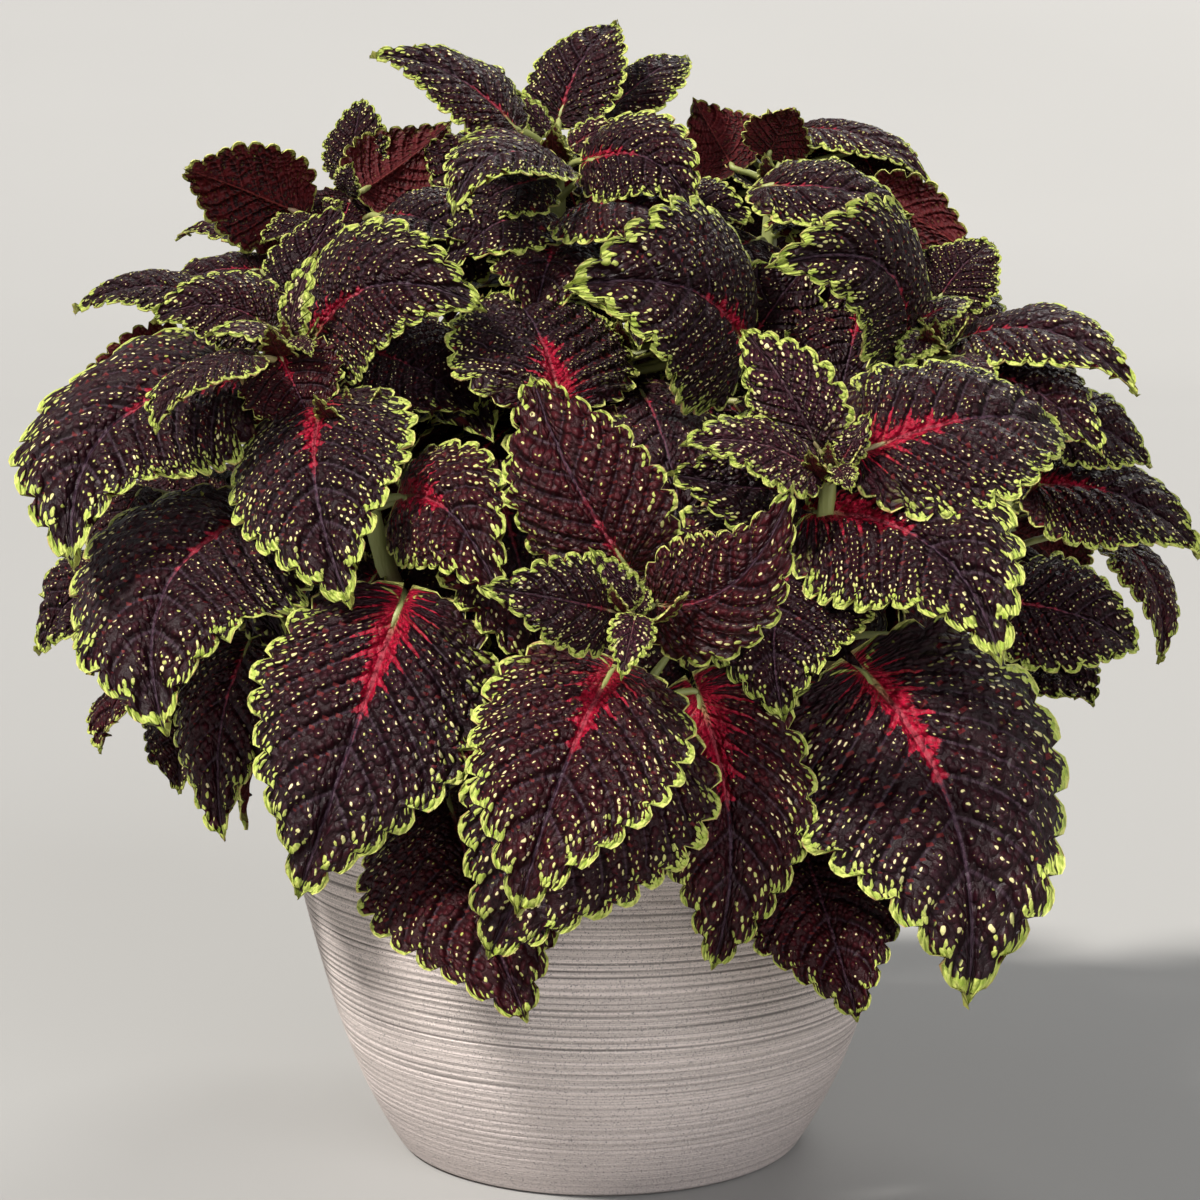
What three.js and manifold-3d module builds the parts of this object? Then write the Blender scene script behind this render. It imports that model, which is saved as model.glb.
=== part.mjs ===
// Potted coleus: a bushy plant of crenate leaves on sixteen leafy stems, in a turned bowl planter.
// Millimetres, +Z up, -Y is the front. The origin is the centre of the planter's foot.
import * as THREE from "three";
import { mergeVertices } from "three/addons/utils/BufferGeometryUtils.js";
import Module from "manifold-3d";

const wasm = await Module();
wasm.setup();

// ---- driving sizes ---------------------------------------------------------------------------
const GAP = 0.3;                    // clear space where one piece sits in another
const SAME_PLACE = 1e-4;            // corners nearer than this are one corner

const POT_HEIGHT = 144;
const POT_FLOOR = 9;
const POT_SIDES = 36;
// [radius, height] up the outside of the bowl, from its rounded foot edge to below the lip
const POT_OUTSIDE = [[81, 0], [85.5, 2], [91, 11], [100.5, 30], [111.5, 60], [120, 90], [127, 120], [130, 136]];
// round the plain lip, and down the inside of the bowl to its floor
const POT_LIP = [[132, 138.5], [132, 141.5], [130, POT_HEIGHT], [126, POT_HEIGHT], [124, 141.5]];
const POT_INSIDE = [[121.9, 130], [104.5, 60], [90, 23], [75, POT_FLOOR]];

const SOIL_TOP = 128;
const SOIL_CROWN = 4;               // how much higher the soil is in the middle
const SOIL_RINGS = [0.75, 0.4];     // where its crowned top bends, as shares of its radius
const SOIL_SIDES = 18;
const SOIL_CLEARANCE = 0.4;         // sideways, which leaves GAP square to the sloped wall
const HOLE_DEPTH = 24;
const HOLE_CLEARANCE = 0.6;         // at a corner of the stem, which leaves GAP at its flat sides

const STEM_RADIUS = 4.2;            // to a corner of the square stem
const STEM_SIDES = 4;
const STEM_STEPS = 5;
const STEM_STAND = 6;               // how far a stem stands straight up out of the soil
const STEM_BENDS = [0.35, 0.7];     // where it bends, as shares of the way to its head
const STEM_BULGE = 0.14;            // how far it bows out before it turns upright
const STEM_SAG = 0.035;             // how far its upper bend hangs, as a share of its height
const LEAF_NODES = 40;              // places along a stem where leaf stalks may start
const LOWEST_NODE = 0.2;            // share of the stem below which none starts
const NODE_INSET = 0.05;            // how far below a joint of the stem its last place is, in joints
const NODE_DROP = 5;                // how far below its blade a stalk would rather start
const STALK_RADIUS = 1.5;
const YOUNG_STALK_RADIUS = 0.8;
const YOUNG_WIDTH = 40;             // blades narrower than this have thinner stalks
const STALK_STAGGER = [-1.95, -0.65, 0.65, 1.95];  // keeps the stalks of one place apart in height

const BLADE_HALF_THICKNESS = 0.4;
const BLADE_FOLD = 10;              // degrees that each half of a blade rises from the midrib
const BLADE_ROLL = 0.35;            // how far the margins roll down again
const LOBE_SETBACK = 0.07;          // how far the base lobes reach back past the stalk
const LOBE_CURVE = 1.5;             // how steeply the lobes' setback grows towards the margin
const NOTCH_DEPTH = 0.13;           // depth of the notches between the rounded teeth
const TIP_LENGTH = 0.3;             // length of the tip past the last notch, in teeth
const CREST = 0.5;                  // where a tooth is highest, as a share of the tooth
const SURFACE_STEP = 0.02;          // step along the blade over which its slope is taken
const SURFACE_ENDS = [0.05, 0.93];  // the blade's ends take the slope found here

// half width of a blade along its midrib, as a share of the widest place
const BLADE_OUTLINE = [
  [0, 0], [0.015, 0.3], [0.05, 0.62], [0.11, 0.84], [0.19, 0.96], [0.29, 1], [0.38, 0.98], [0.48, 0.92],
  [0.58, 0.8], [0.68, 0.63], [0.78, 0.43], [0.87, 0.25], [0.94, 0.12], [1, 0],
];
// blades at least this wide get this many teeth a side and pieces of midrib
const BLADE_DETAIL = [
  { width: 64, teeth: 5, ribs: 3 },
  { width: 43, teeth: 4, ribs: 3 },
  { width: 25, teeth: 3, ribs: 2 },
  { width: 0, teeth: 2, ribs: 2 },
];

// ---- the leafy stems -------------------------------------------------------------------------
// A leaf: [blade base], [tip], width, [compass, rise] of the way its upper face looks (compass 0 is
// the front, 90 is +X), arch of the midrib off its chord, and its sideways bend. Arch and bend are
// shares of the blade's length.
const TOP = [
  [[-35, -5, 420], [-93, -2, 448], 42, [5, 54], 0.12, -0.04],
  [[-17, 26, 424], [8, 58, 465], 44, [-22, 28], 0.15, 0],
  [[-22, 14, 418], [-38, 14, 436], 13, [0, 30], 0.08, 0],
  [[-4, -22, 406], [37, -52, 383], 44, [-5, 28], 0.14, 0.16],
  [[2, 50, 427], [38, 80, 452], 38, [-20, 52], 0.15, -0.1],
  [[-16, -24, 404], [-56, -76, 384], 42, [-8, 50], 0.16, -0.12],
  [[-22, -8, 410], [-56, -28, 413], 18, [-10, 60], 0.12, 0],
  [[-11, -3, 412], [10, 0, 422], 15, [10, 40], 0.1, 0],
  [[-6, -20, 388], [40, -58, 372], 56, [5, 50], 0.14, 0],
  [[22, 5, 386], [62, -14, 382], 40, [0, 40], 0.1, 0],
  [[-20, 40, 405], [-25, 95, 400], 50, [180, 60], 0.16, 0],
  [[-20, 65, 350], [-25, 140, 325], 80, [180, 50], 0.16, 0],
  [[16, 18, 352], [66, 2, 328], 62, [70, 55], 0.16, 0],
  [[-45, 5, 351], [-100, 0, 335], 64, [-80, 60], 0.16, 0],
  [[-24, 34, 374], [-66, 52, 370], 56, [0, 35], 0.12, 0],
  [[0, 38, 372], [48, 62, 360], 56, [0, 40], 0.12, 0],
];
const BACK_LEFT = [
  [[-125, 30, 385], [-168, -5, 403], 46, [150, -10], 0.1, 0],
  [[-105, 45, 400], [-101, 62, 434], 31, [-20, 20], 0.14, -0.04],
  [[-99, 27, 394], [-62, 44, 424], 40, [170, -5], 0.12, 0],
  [[-105, 20, 394], [-101, 10, 406], 14, [0, 30], 0.1, 0],
  [[-112, 20, 380], [-105, 5, 390], 18, [-10, 20], 0.1, 0],
  [[-110, 15, 377], [-138, -5, 373], 34, [0, 55], 0.12, 0],
  [[-138, 52, 376], [-182, 58, 374], 36, [-30, 70], 0.14, 0],
  [[-88, 0, 384], [-50, -30, 372], 56, [5, 45], 0.12, 0],
  [[-120, 70, 385], [-150, 125, 365], 60, [160, 50], 0.18, 0],
  [[-80, 86, 380], [-55, 138, 365], 52, [180, 50], 0.18, 0],
  [[-116, 56, 352], [-172, 72, 322], 64, [-100, 45], 0.16, 0],
  [[-88, 80, 205], [-124, 110, 128], 72, [-140, 20], 0.14, 0],
];
const LEFT = [
  [[-111, -65, 335], [-42, -96, 348], 62, [5, 28], 0.19, 0.15],
  [[-126, -66, 341], [-172, -70, 343], 40, [-25, 36], 0.15, -0.1],
  [[-130, -93, 331], [-163, -121, 304], 42, [-48, 40], 0.15, -0.07],
  [[-118, -76, 339], [-106, -84, 371], 15, [-20, 20], 0.1, 0],
  [[-121, -80, 338], [-148, -95, 339], 15, [-10, 50], 0.12, 0],
  [[-115, -84, 338], [-108, -94, 331], 11, [20, 40], 0.1, 0],
  [[-139, -65, 322], [-193, -125, 254], 86, [-18, 34], 0.1, -0.22],
  [[-122, -48, 349], [-102, -30, 388], 34, [-10, 25], 0.1, 0],
  [[-91, -55, 332], [-46, -75, 308], 64, [15, 35], 0.12, 0],
  [[-160, -5, 352], [-212, -18, 346], 40, [-30, 55], 0.14, 0],
  [[-140, 14, 362], [-185, 22, 352], 36, [-10, 62], 0.1, 0],
  [[-165, -16, 328], [-206, -34, 322], 34, [165, -15], 0.1, 0],
  [[-125, -10, 315], [-180, 25, 285], 76, [-110, 45], 0.16, 0],
  [[-106, -2, 212], [-148, -4, 130], 76, [-90, 20], 0.14, 0],
];
const MIDDLE = [
  [[-15, -90, 315], [-40, -35, 353], 76, [22, 45], 0.15, 0],
  [[55, -55, 334], [-14, -100, 357], 84, [-8, 22], 0.22, -0.08],
  [[5, -41, 341], [-6, -35, 355], 14, [0, 30], 0.1, 0],
];
const UPPER_RIGHT = [
  [[121, -30, 335], [62, -85, 364], 62, [-12, 20], 0.2, -0.18],
  [[145, -25, 335], [210, -55, 314], 52, [30, 46], 0.2, 0.02],
  [[130, -38, 337], [114, -62, 323], 16, [-10, 30], 0.1, 0],
  [[142, -46, 329], [152, -69, 317], 18, [10, 30], 0.1, 0],
  [[128, -32, 343], [150, -18, 350], 16, [0, 50], 0.1, 0],
  [[138, 2, 350], [163, 20, 373], 38, [-5, 45], 0.14, 0],
  [[152, -40, 323], [194, -70, 292], 50, [25, 35], 0.12, 0],
  [[176, -30, 307], [223, -20, 283], 46, [30, 40], 0.12, 0],
  [[150, 35, 330], [205, 55, 305], 56, [100, 45], 0.16, 0],
];
const BACK_RIGHT = [
  [[57, 55, 404], [40, 75, 435], 40, [175, -5], 0.1, 0],
  [[71, 48, 410], [82, 38, 429], 32, [200, 0], 0.1, 0],
  [[86, 68, 421], [142, 52, 395], 38, [0, 68], 0.15, 0],
  [[113, 40, 393], [157, 25, 367], 34, [150, 0], 0.12, 0],
  [[67, 5, 396], [128, 15, 383], 46, [8, 50], 0.2, -0.12],
  [[82, 62, 396], [116, 98, 406], 40, [180, 30], 0.12, 0],
  [[98, 24, 380], [128, 18, 352], 46, [20, 40], 0.12, 0],
  [[60, 75, 395], [45, 130, 378], 56, [190, 50], 0.18, 0],
  [[100, 80, 390], [150, 110, 362], 60, [140, 50], 0.18, 0],
  [[92, 78, 340], [142, 123, 300], 76, [140, 40], 0.18, 0],
  [[62, 66, 374], [98, 84, 345], 56, [0, 35], 0.12, 0],
];
const RIGHT = [
  [[80, -124, 299], [52, -106, 342], 36, [-30, 16], 0.16, -0.08],
  [[79, -131, 291], [28, -147, 302], 36, [0, 48], 0.1, -0.06],
  [[96, -118, 297], [178, -78, 299], 78, [18, 48], 0.2, -0.03],
  [[79, -118, 275], [140, -178, 227], 76, [5, 28], 0.08, 0.16],
  [[88, -128, 295], [98, -128, 313], 13, [10, 20], 0.1, 0],
  [[86, -134, 293], [90, -148, 285], 12, [0, 20], 0.1, 0],
  [[76, -105, 284], [24, -130, 291], 46, [-5, 25], 0.12, 0.1],
  [[72, -125, 258], [66, -160, 204], 66, [-10, 14], 0.12, -0.08],
  [[97, -130, 217], [131, -170, 102], 114, [15, 15], 0.14, 0.08],
  [[74, -125, 154], [93, -165, 95], 66, [5, 5], 0.12, 0],
];
const FRONT = [
  [[10, -174, 261], [-24, -150, 327], 56, [-20, 14], 0.18, 0],
  [[19, -178, 249], [65, -205, 294], 44, [0, 22], 0.1, -0.2],
  [[5, -190, 248], [-40, -214, 260], 34, [-6, 15], 0.1, 0],
  [[12, -190, 251], [-4, -194, 271], 13, [-10, 30], 0.08, 0],
  [[12, -196, 247], [7, -214, 228], 16, [0, 20], 0.1, 0],
  [[4, -182, 226], [-28, -222, 148], 76, [-9, 17], 0.18, 0],
  [[18, -165, 208], [-40, -175, 121], 86, [-5, 12], 0.16, -0.03],
  [[35, -150, 213], [40, -162, 113], 64, [-5, 10], 0.14, 0.1],
];
const FRONT_LEFT = [
  [[-105, -90, 313], [-89, -150, 243], 76, [-20, 26], 0.12, -0.03],
  [[-73, -110, 280], [-34, -160, 245], 52, [-12, 10], 0.16, 0.15],
  [[-72, -140, 244], [-109, -160, 139], 88, [-12, 12], 0.12, 0.03],
  [[-56, -125, 168], [-26, -170, 96], 84, [0, 8], 0.14, 0],
];
const LOWER_LEFT = [
  [[-134, -80, 269], [-158, -140, 195], 98, [-20, 21], 0.16, -0.14],
  [[-135, -75, 221], [-142, -110, 149], 54, [-30, 10], 0.14, 0],
  [[-173, -60, 211], [-193, -85, 178], 44, [-50, 0], 0.12, 0],
  [[-184, -60, 250], [-219, -70, 214], 56, [-45, 25], 0.14, 0],
  [[-157, -60, 199], [-164, -75, 160], 46, [-30, 5], 0.12, 0],
  [[-150, -20, 270], [-215, -5, 250], 66, [-80, 45], 0.18, 0],
];
const LOWER_RIGHT = [
  [[154, -80, 237], [209, -75, 217], 52, [28, 28], 0.2, -0.03],
  [[172, -30, 277], [242, -28, 247], 64, [38, 46], 0.15, 0.03],
  [[211, -10, 255], [226, -30, 204], 36, [43, 26], 0.18, 0],
  [[165, -65, 215], [189, -92, 198], 46, [30, 10], 0.1, 0],
  [[150, 20, 250], [215, 30, 200], 78, [90, 40], 0.16, 0],
  [[122, -46, 196], [158, -60, 114], 76, [75, 20], 0.14, 0],
  [[112, 14, 205], [157, 20, 124], 76, [95, 20], 0.14, 0],
];

// Each stem: where it stands in the soil, where its head is, its leaves, and the turn in degrees
// about the planter's axis that places it. The hidden far side repeats the near side's habit.
const STEMS = {
  shoot_top: { foot: [-5, 8], head: [-18, 10, 413], leaves: TOP, turn: 0 },
  shoot_back_left: { foot: [-32, 28], head: [-106, 45, 397], leaves: BACK_LEFT, turn: 0 },
  shoot_left: { foot: [-48, -8], head: [-119, -75, 337], leaves: LEFT, turn: 0 },
  shoot_middle: { foot: [14, -22], head: [10, -45, 336], leaves: MIDDLE, turn: 0 },
  shoot_upper_right: { foot: [44, 6], head: [134, -32, 336], leaves: UPPER_RIGHT, turn: 0 },
  shoot_back_right: { foot: [25, 37], head: [74, 53, 402], leaves: BACK_RIGHT, turn: 0 },
  shoot_right: { foot: [42, -48], head: [85, -124, 294], leaves: RIGHT, turn: 0 },
  shoot_front: { foot: [6, -62], head: [10, -186, 250], leaves: FRONT, turn: 0 },
  shoot_front_left: { foot: [-30, -52], head: [-92, -95, 312], leaves: FRONT_LEFT, turn: 0 },
  shoot_lower_left: { foot: [-68, -26], head: [-146, -62, 270], leaves: LOWER_LEFT, turn: 0 },
  shoot_lower_right: { foot: [68, -18], head: [166, -30, 274], leaves: LOWER_RIGHT, turn: 0 },
  shoot_back: { foot: [6, -62], head: [10, -186, 250], leaves: FRONT, turn: 180 },
  shoot_far_left: { foot: [42, -48], head: [85, -124, 294], leaves: RIGHT, turn: 180 },
  shoot_far_right: { foot: [-30, -52], head: [-92, -95, 312], leaves: FRONT_LEFT, turn: 184 },
  shoot_side_left: { foot: [-68, -26], head: [-146, -62, 270], leaves: LOWER_LEFT, turn: -41 },
  shoot_side_right: { foot: [-68, -26], head: [-146, -62, 270], leaves: LOWER_LEFT, turn: 184 },
};

// ---- helpers ---------------------------------------------------------------------------------
const radians = THREE.MathUtils.degToRad;
const lerp = THREE.MathUtils.lerp;
const point = (values) => new THREE.Vector3(...values);

// a closed mesh with shared corners, as a solid
function solid(corners, triangles) {
  const vertProperties = new Float32Array(corners.flatMap((corner) => corner.toArray()));
  const triVerts = new Uint32Array(triangles.flat());
  return new wasm.Manifold(new wasm.Mesh({ numProp: 3, vertProperties, triVerts }));
}

function geometryOf(shape) {
  const mesh = shape.getMesh();
  const geometry = new THREE.BufferGeometry();
  geometry.setAttribute("position", new THREE.Float32BufferAttribute(mesh.vertProperties, 3));
  geometry.setIndex(Array.from(mesh.triVerts));
  geometry.computeVertexNormals();
  return geometry;
}

// value read off a list of [place, value] pairs by straight lines between them
function readOff(pairs, place) {
  const after = pairs.findIndex((pair) => pair[0] >= place);
  if (after <= 0) return pairs[Math.max(after, 0)][1];
  const [from, to] = [pairs[after - 1], pairs[after]];
  return lerp(from[1], to[1], (place - from[0]) / (to[0] - from[0]));
}

// ---- leaves ----------------------------------------------------------------------------------
// the blade's own directions: along the chord, out of its upper face, and across
function bladeFrame(base, tip, faces) {
  const along = tip.clone().sub(base);
  const length = along.length();
  along.normalize();
  const [compass, rise] = faces.map(radians);
  const out = point([Math.sin(compass) * Math.cos(rise), -Math.cos(compass) * Math.cos(rise), Math.sin(rise)]);
  out.addScaledVector(along, -out.dot(along)).normalize();
  const across = out.clone().cross(along);
  return { length, along, out, across };
}

// a point of the blade's middle surface: s runs from base to tip, t from one margin to the other
function bladePoint(leaf, s, t) {
  const { base, frame, width, arch, bend } = leaf;
  const { length, along, out, across } = frame;
  const offset = t * readOff(BLADE_OUTLINE, s) * width / 2;
  const place = s - LOBE_SETBACK * Math.abs(t) ** LOBE_CURVE * (1 - s) ** 2;
  const bow = 4 * place * (1 - place) * length;
  const slope = 4 * (1 - 2 * place);
  const sideways = across.clone().addScaledVector(along, -slope * bend).normalize();
  const upward = out.clone().addScaledVector(along, -slope * arch).normalize();
  const rise = Math.abs(offset) * Math.sin(radians(BLADE_FOLD)) - BLADE_ROLL * offset ** 2 / (width / 2);
  return base.clone()
    .addScaledVector(along, place * length)
    .addScaledVector(out, arch * bow)
    .addScaledVector(across, bend * bow)
    .addScaledVector(sideways, offset * Math.cos(radians(BLADE_FOLD)))
    .addScaledVector(upward, rise);
}

function bladeNormal(leaf, s, t) {
  const place = THREE.MathUtils.clamp(s, ...SURFACE_ENDS);
  const [before, after] = [place - SURFACE_STEP, place + SURFACE_STEP];
  const lengthwise = bladePoint(leaf, after, t).sub(bladePoint(leaf, before, t));
  const crosswise = bladePoint(leaf, place, t + SURFACE_STEP).sub(bladePoint(leaf, place, t - SURFACE_STEP));
  return crosswise.cross(lengthwise).normalize().negate();
}

// rounded teeth of one margin: crests with notches between them
function marginPlaces(teeth) {
  const places = [];
  for (let tooth = 0; tooth < teeth; tooth += 1) {
    places.push([(tooth + CREST) / (teeth + TIP_LENGTH), 1]);
    places.push([(tooth + 1) / (teeth + TIP_LENGTH), 1 - NOTCH_DEPTH]);
  }
  return places;
}

// stations of the blade: the middle surface there, the way out of it, and half the thickness
function bladeStation(leaf, s, t) {
  return { s, place: bladePoint(leaf, s, t), normal: bladeNormal(leaf, s, t), half: BLADE_HALF_THICKNESS };
}

// Stations across the straight stalk, at the stem (s -1) and mitred into the blade (s 0). The side
// runs from -1 to 1.
function stalkStation(leaf, start, s, side) {
  const run = leaf.base.clone().sub(start).normalize();
  if (s === 0) run.add(leaf.frame.along).normalize();
  const radius = lerp(YOUNG_STALK_RADIUS, STALK_RADIUS, Math.min(leaf.width / YOUNG_WIDTH, 1));
  const normal = run.clone().cross(leaf.frame.across).normalize();
  const sideways = normal.clone().cross(run).normalize();
  const place = (s === 0 ? leaf.base : start).clone().addScaledVector(sideways, side * radius);
  return { s, place, normal, half: side === 0 ? radius : BLADE_HALF_THICKNESS };
}

// triangles of one face between the middle line and one margin, both from the stem to the tip
function faceTriangles(middle, margin, stations) {
  const triangles = [];
  let [r, m] = [0, 0];
  while (r < middle.length - 2 || m < margin.length - 1) {
    const middleNext = r < middle.length - 2 ? stations[middle[r + 1]].s : Infinity;
    const marginNext = m < margin.length - 1 ? stations[margin[m + 1]].s : Infinity;
    if (middleNext < marginNext) {
      triangles.push([middle[r], middle[r + 1], margin[m]]);
      r += 1;
    } else {
      triangles.push([middle[r], margin[m + 1], margin[m]]);
      m += 1;
    }
  }
  triangles.push([middle[r], middle[r + 1], margin[m]]);
  return triangles;
}

// A leaf is one closed skin of two faces, alike in their triangles. Each face has a middle line and
// two margins, which run close together along the stalk and spread out in the blade.
function leafSolid(leaf, start) {
  const { teeth, ribs } = BLADE_DETAIL.find((detail) => leaf.width >= detail.width);
  const stations = [];
  const addLine = (side) => {
    const first = stations.length;
    stations.push(stalkStation(leaf, start, -1, side), stalkStation(leaf, start, 0, side));
    if (side === 0) {
      for (let rib = 1; rib <= ribs; rib += 1) stations.push(bladeStation(leaf, rib / ribs, 0));
    } else {
      for (const [s, t] of marginPlaces(teeth)) stations.push(bladeStation(leaf, s, side * t));
    }
    return Array.from({ length: stations.length - first }, (_, index) => first + index);
  };
  const middle = addLine(0);
  const right = addLine(1);
  const left = addLine(-1);

  const count = stations.length;
  const upper = [
    ...faceTriangles(middle, right, stations),
    ...faceTriangles(middle, left, stations).map(([a, b, c]) => [a, c, b]),
  ];
  const lower = upper.map(([a, b, c]) => [a + count, c + count, b + count]);
  const loop = [middle[0], ...right, middle.at(-1), ...left.slice().reverse()];
  const rim = loop.flatMap((from, index) => {
    const to = loop[(index + 1) % loop.length];
    return [[from, to, to + count], [from, to + count, from + count]];
  });
  const corners = [1, -1].flatMap((side) => stations.map(({ place, normal, half }) => (
    place.clone().addScaledVector(normal, side * half)
  )));
  return solid(corners, [...upper, ...lower, ...rim]);
}

// ---- stems -----------------------------------------------------------------------------------
// the solid of a three.js geometry, with the corners that meet made one
function solidOf(geometry) {
  const welded = mergeVertices(geometry.deleteAttribute("normal").deleteAttribute("uv"), SAME_PLACE);
  const places = welded.getAttribute("position");
  const corners = Array.from({ length: places.count }, (_, index) => (
    new THREE.Vector3().fromBufferAttribute(places, index)
  ));
  const triangles = [];
  for (let first = 0; first < welded.index.count; first += 3) {
    const triangle = [0, 1, 2].map((corner) => welded.index.getX(first + corner));
    if (new Set(triangle).size === 3) triangles.push(triangle);
  }
  return solid(corners, triangles);
}

// a tube with flat ends along a path
function tubeSolid(path, radius) {
  const section = new THREE.Shape(Array.from({ length: STEM_SIDES }, (_, side) => {
    const angle = 2 * Math.PI * side / STEM_SIDES;
    return new THREE.Vector2(radius * Math.cos(angle), radius * Math.sin(angle));
  }));
  return solidOf(new THREE.ExtrudeGeometry(section, { steps: STEM_STEPS, extrudePath: path }));
}

function soilHeight(radius) {
  return SOIL_TOP + SOIL_CROWN * (1 - (radius / potInside(SOIL_TOP)) ** 2);
}

// a stem leaves the soil, bows outwards and ends upright in its head
function stemPath(foot, head, depth) {
  const ground = soilHeight(Math.hypot(...foot));
  const from = point([...foot, ground - depth]);
  const low = point([...foot, ground + STEM_STAND]);
  const to = point(head);
  const [early, late] = STEM_BENDS.map((share) => low.clone().lerp(to, share));
  const outward = to.clone().sub(low).setZ(0);
  early.addScaledVector(outward, STEM_BULGE / 2);
  late.addScaledVector(outward, STEM_BULGE);
  late.z -= (to.z - low.z) * STEM_SAG;
  return new THREE.CatmullRomCurve3([from, low, early, late, to]);
}

// the places on the faceted stem where leaf stalks may start
function leafNodes(stem) {
  const joints = stem.getSpacedPoints(STEM_STEPS);
  return Array.from({ length: LEAF_NODES }, (_, node) => {
    const place = lerp(LOWEST_NODE, 1, (node + 1) / LEAF_NODES) * STEM_STEPS - NODE_INSET;
    const joint = Math.floor(place);
    return joints[joint].clone().lerp(joints[joint + 1], place - joint);
  });
}

// a leaf's stalk starts at the leaf node that suits it best, one not above the blade
function stalkStart(nodes, leaf, order) {
  const reach = (node) => node.distanceTo(leaf.base) + Math.max(0, node.z - leaf.base.z + NODE_DROP);
  const start = nodes.reduce((best, node) => (reach(node) < reach(best) ? node : best)).clone();
  start.z += STALK_STAGGER[order % STALK_STAGGER.length];
  return start;
}

function shootSolid({ foot, head, leaves }) {
  const stem = stemPath(foot, head, HOLE_DEPTH);
  const nodes = leafNodes(stem);
  let shoot = tubeSolid(stem, STEM_RADIUS);
  leaves.forEach(([base, tip, width, faces, arch, bend], order) => {
    const frame = bladeFrame(point(base), point(tip), faces);
    const leaf = { base: point(base), frame, width, arch, bend };
    shoot = shoot.add(leafSolid(leaf, stalkStart(nodes, leaf, order)));
  });
  // the outer body alone: any pinhole sealed between crowded stalks is filled
  return shoot.decompose().reduce((outer, body) => (body.volume() > outer.volume() ? body : outer));
}

// ---- planter and soil ------------------------------------------------------------------------
function potInside(height) {
  const upwards = POT_INSIDE.map(([radius, z]) => [z, radius]).reverse();
  return readOff(upwards, height);
}

function lathe(outline, sides) {
  const geometry = new THREE.LatheGeometry(outline.map(([r, z]) => new THREE.Vector2(r, z)), sides);
  return geometry.rotateX(Math.PI / 2);
}

function potGeometry() {
  const outline = [[0, 0], ...POT_OUTSIDE, ...POT_LIP, ...POT_INSIDE, [0, POT_FLOOR]];
  return lathe(outline, POT_SIDES);
}

function soilSolid() {
  const floor = POT_FLOOR + GAP;
  const wall = POT_INSIDE.slice(1, -1).reverse();
  const side = [[potInside(POT_FLOOR), floor], ...wall, [potInside(SOIL_TOP), SOIL_TOP]]
    .map(([radius, z]) => [radius - SOIL_CLEARANCE, z]);
  const top = SOIL_RINGS.map((share) => {
    const radius = share * potInside(SOIL_TOP);
    return [radius, soilHeight(radius)];
  });
  let soil = solidOf(lathe([[0, floor], ...side, ...top, [0, soilHeight(0)]], SOIL_SIDES));
  for (const { foot, head, turn } of Object.values(STEMS)) {
    const hole = tubeSolid(stemPath(foot, head, HOLE_DEPTH + GAP), STEM_RADIUS + HOLE_CLEARANCE);
    soil = soil.subtract(hole.rotate([0, 0, turn]));
  }
  return soil;
}

// ---- the object ------------------------------------------------------------------------------
const stoneware = new THREE.MeshStandardMaterial({ color: 0xc9c0b4, roughness: 0.85, metalness: 0 });
const pottingMix = new THREE.MeshStandardMaterial({ color: 0x2b211b, roughness: 1, metalness: 0 });
const foliage = { color: 0x3a1d2a, roughness: 0.6, metalness: 0 };

const coleus = new THREE.Group();

const pot = new THREE.Mesh(potGeometry(), stoneware);
pot.name = "pot";
coleus.add(pot);

const soil = new THREE.Mesh(geometryOf(soilSolid()), pottingMix);
soil.name = "soil";
coleus.add(soil);

for (const [name, stem] of Object.entries(STEMS)) {
  const shoot = new THREE.Mesh(geometryOf(shootSolid(stem)), new THREE.MeshStandardMaterial(foliage));
  shoot.name = name;
  shoot.rotation.z = radians(stem.turn);
  coleus.add(shoot);
}

export default coleus;
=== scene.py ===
import math

import bpy
import numpy as np
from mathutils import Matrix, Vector


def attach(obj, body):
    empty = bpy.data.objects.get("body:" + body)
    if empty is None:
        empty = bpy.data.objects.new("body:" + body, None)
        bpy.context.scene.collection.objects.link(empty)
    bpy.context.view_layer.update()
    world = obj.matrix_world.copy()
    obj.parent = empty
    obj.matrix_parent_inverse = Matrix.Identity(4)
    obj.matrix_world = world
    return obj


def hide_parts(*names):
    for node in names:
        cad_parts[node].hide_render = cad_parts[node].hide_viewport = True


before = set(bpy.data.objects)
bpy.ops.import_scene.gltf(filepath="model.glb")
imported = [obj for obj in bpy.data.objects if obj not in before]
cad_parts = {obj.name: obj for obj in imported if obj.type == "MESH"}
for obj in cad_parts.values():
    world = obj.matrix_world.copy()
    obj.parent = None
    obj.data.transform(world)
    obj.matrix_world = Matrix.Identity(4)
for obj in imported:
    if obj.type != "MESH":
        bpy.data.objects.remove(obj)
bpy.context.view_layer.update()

# ---- the object's sizes, in millimetres, as in the CAD ----
# The planter: (radius, height) up its outside, round its lip and down its inside.
POT_OUTSIDE = [(81, 0), (85.5, 2), (91, 11), (100.5, 30), (111.5, 60), (120, 90), (127, 120), (130, 136)]
POT_LIP = [(132, 138.5), (132, 141.5), (130, 144), (126, 144), (124, 141.5)]
POT_INSIDE = [(121.9, 130), (104.5, 60), (90, 23), (75, 9)]
SOIL_TOP = 128
SOIL_CROWN = 4  # how much higher the soil is in the middle
SOIL_RADIUS = 121.4

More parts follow.
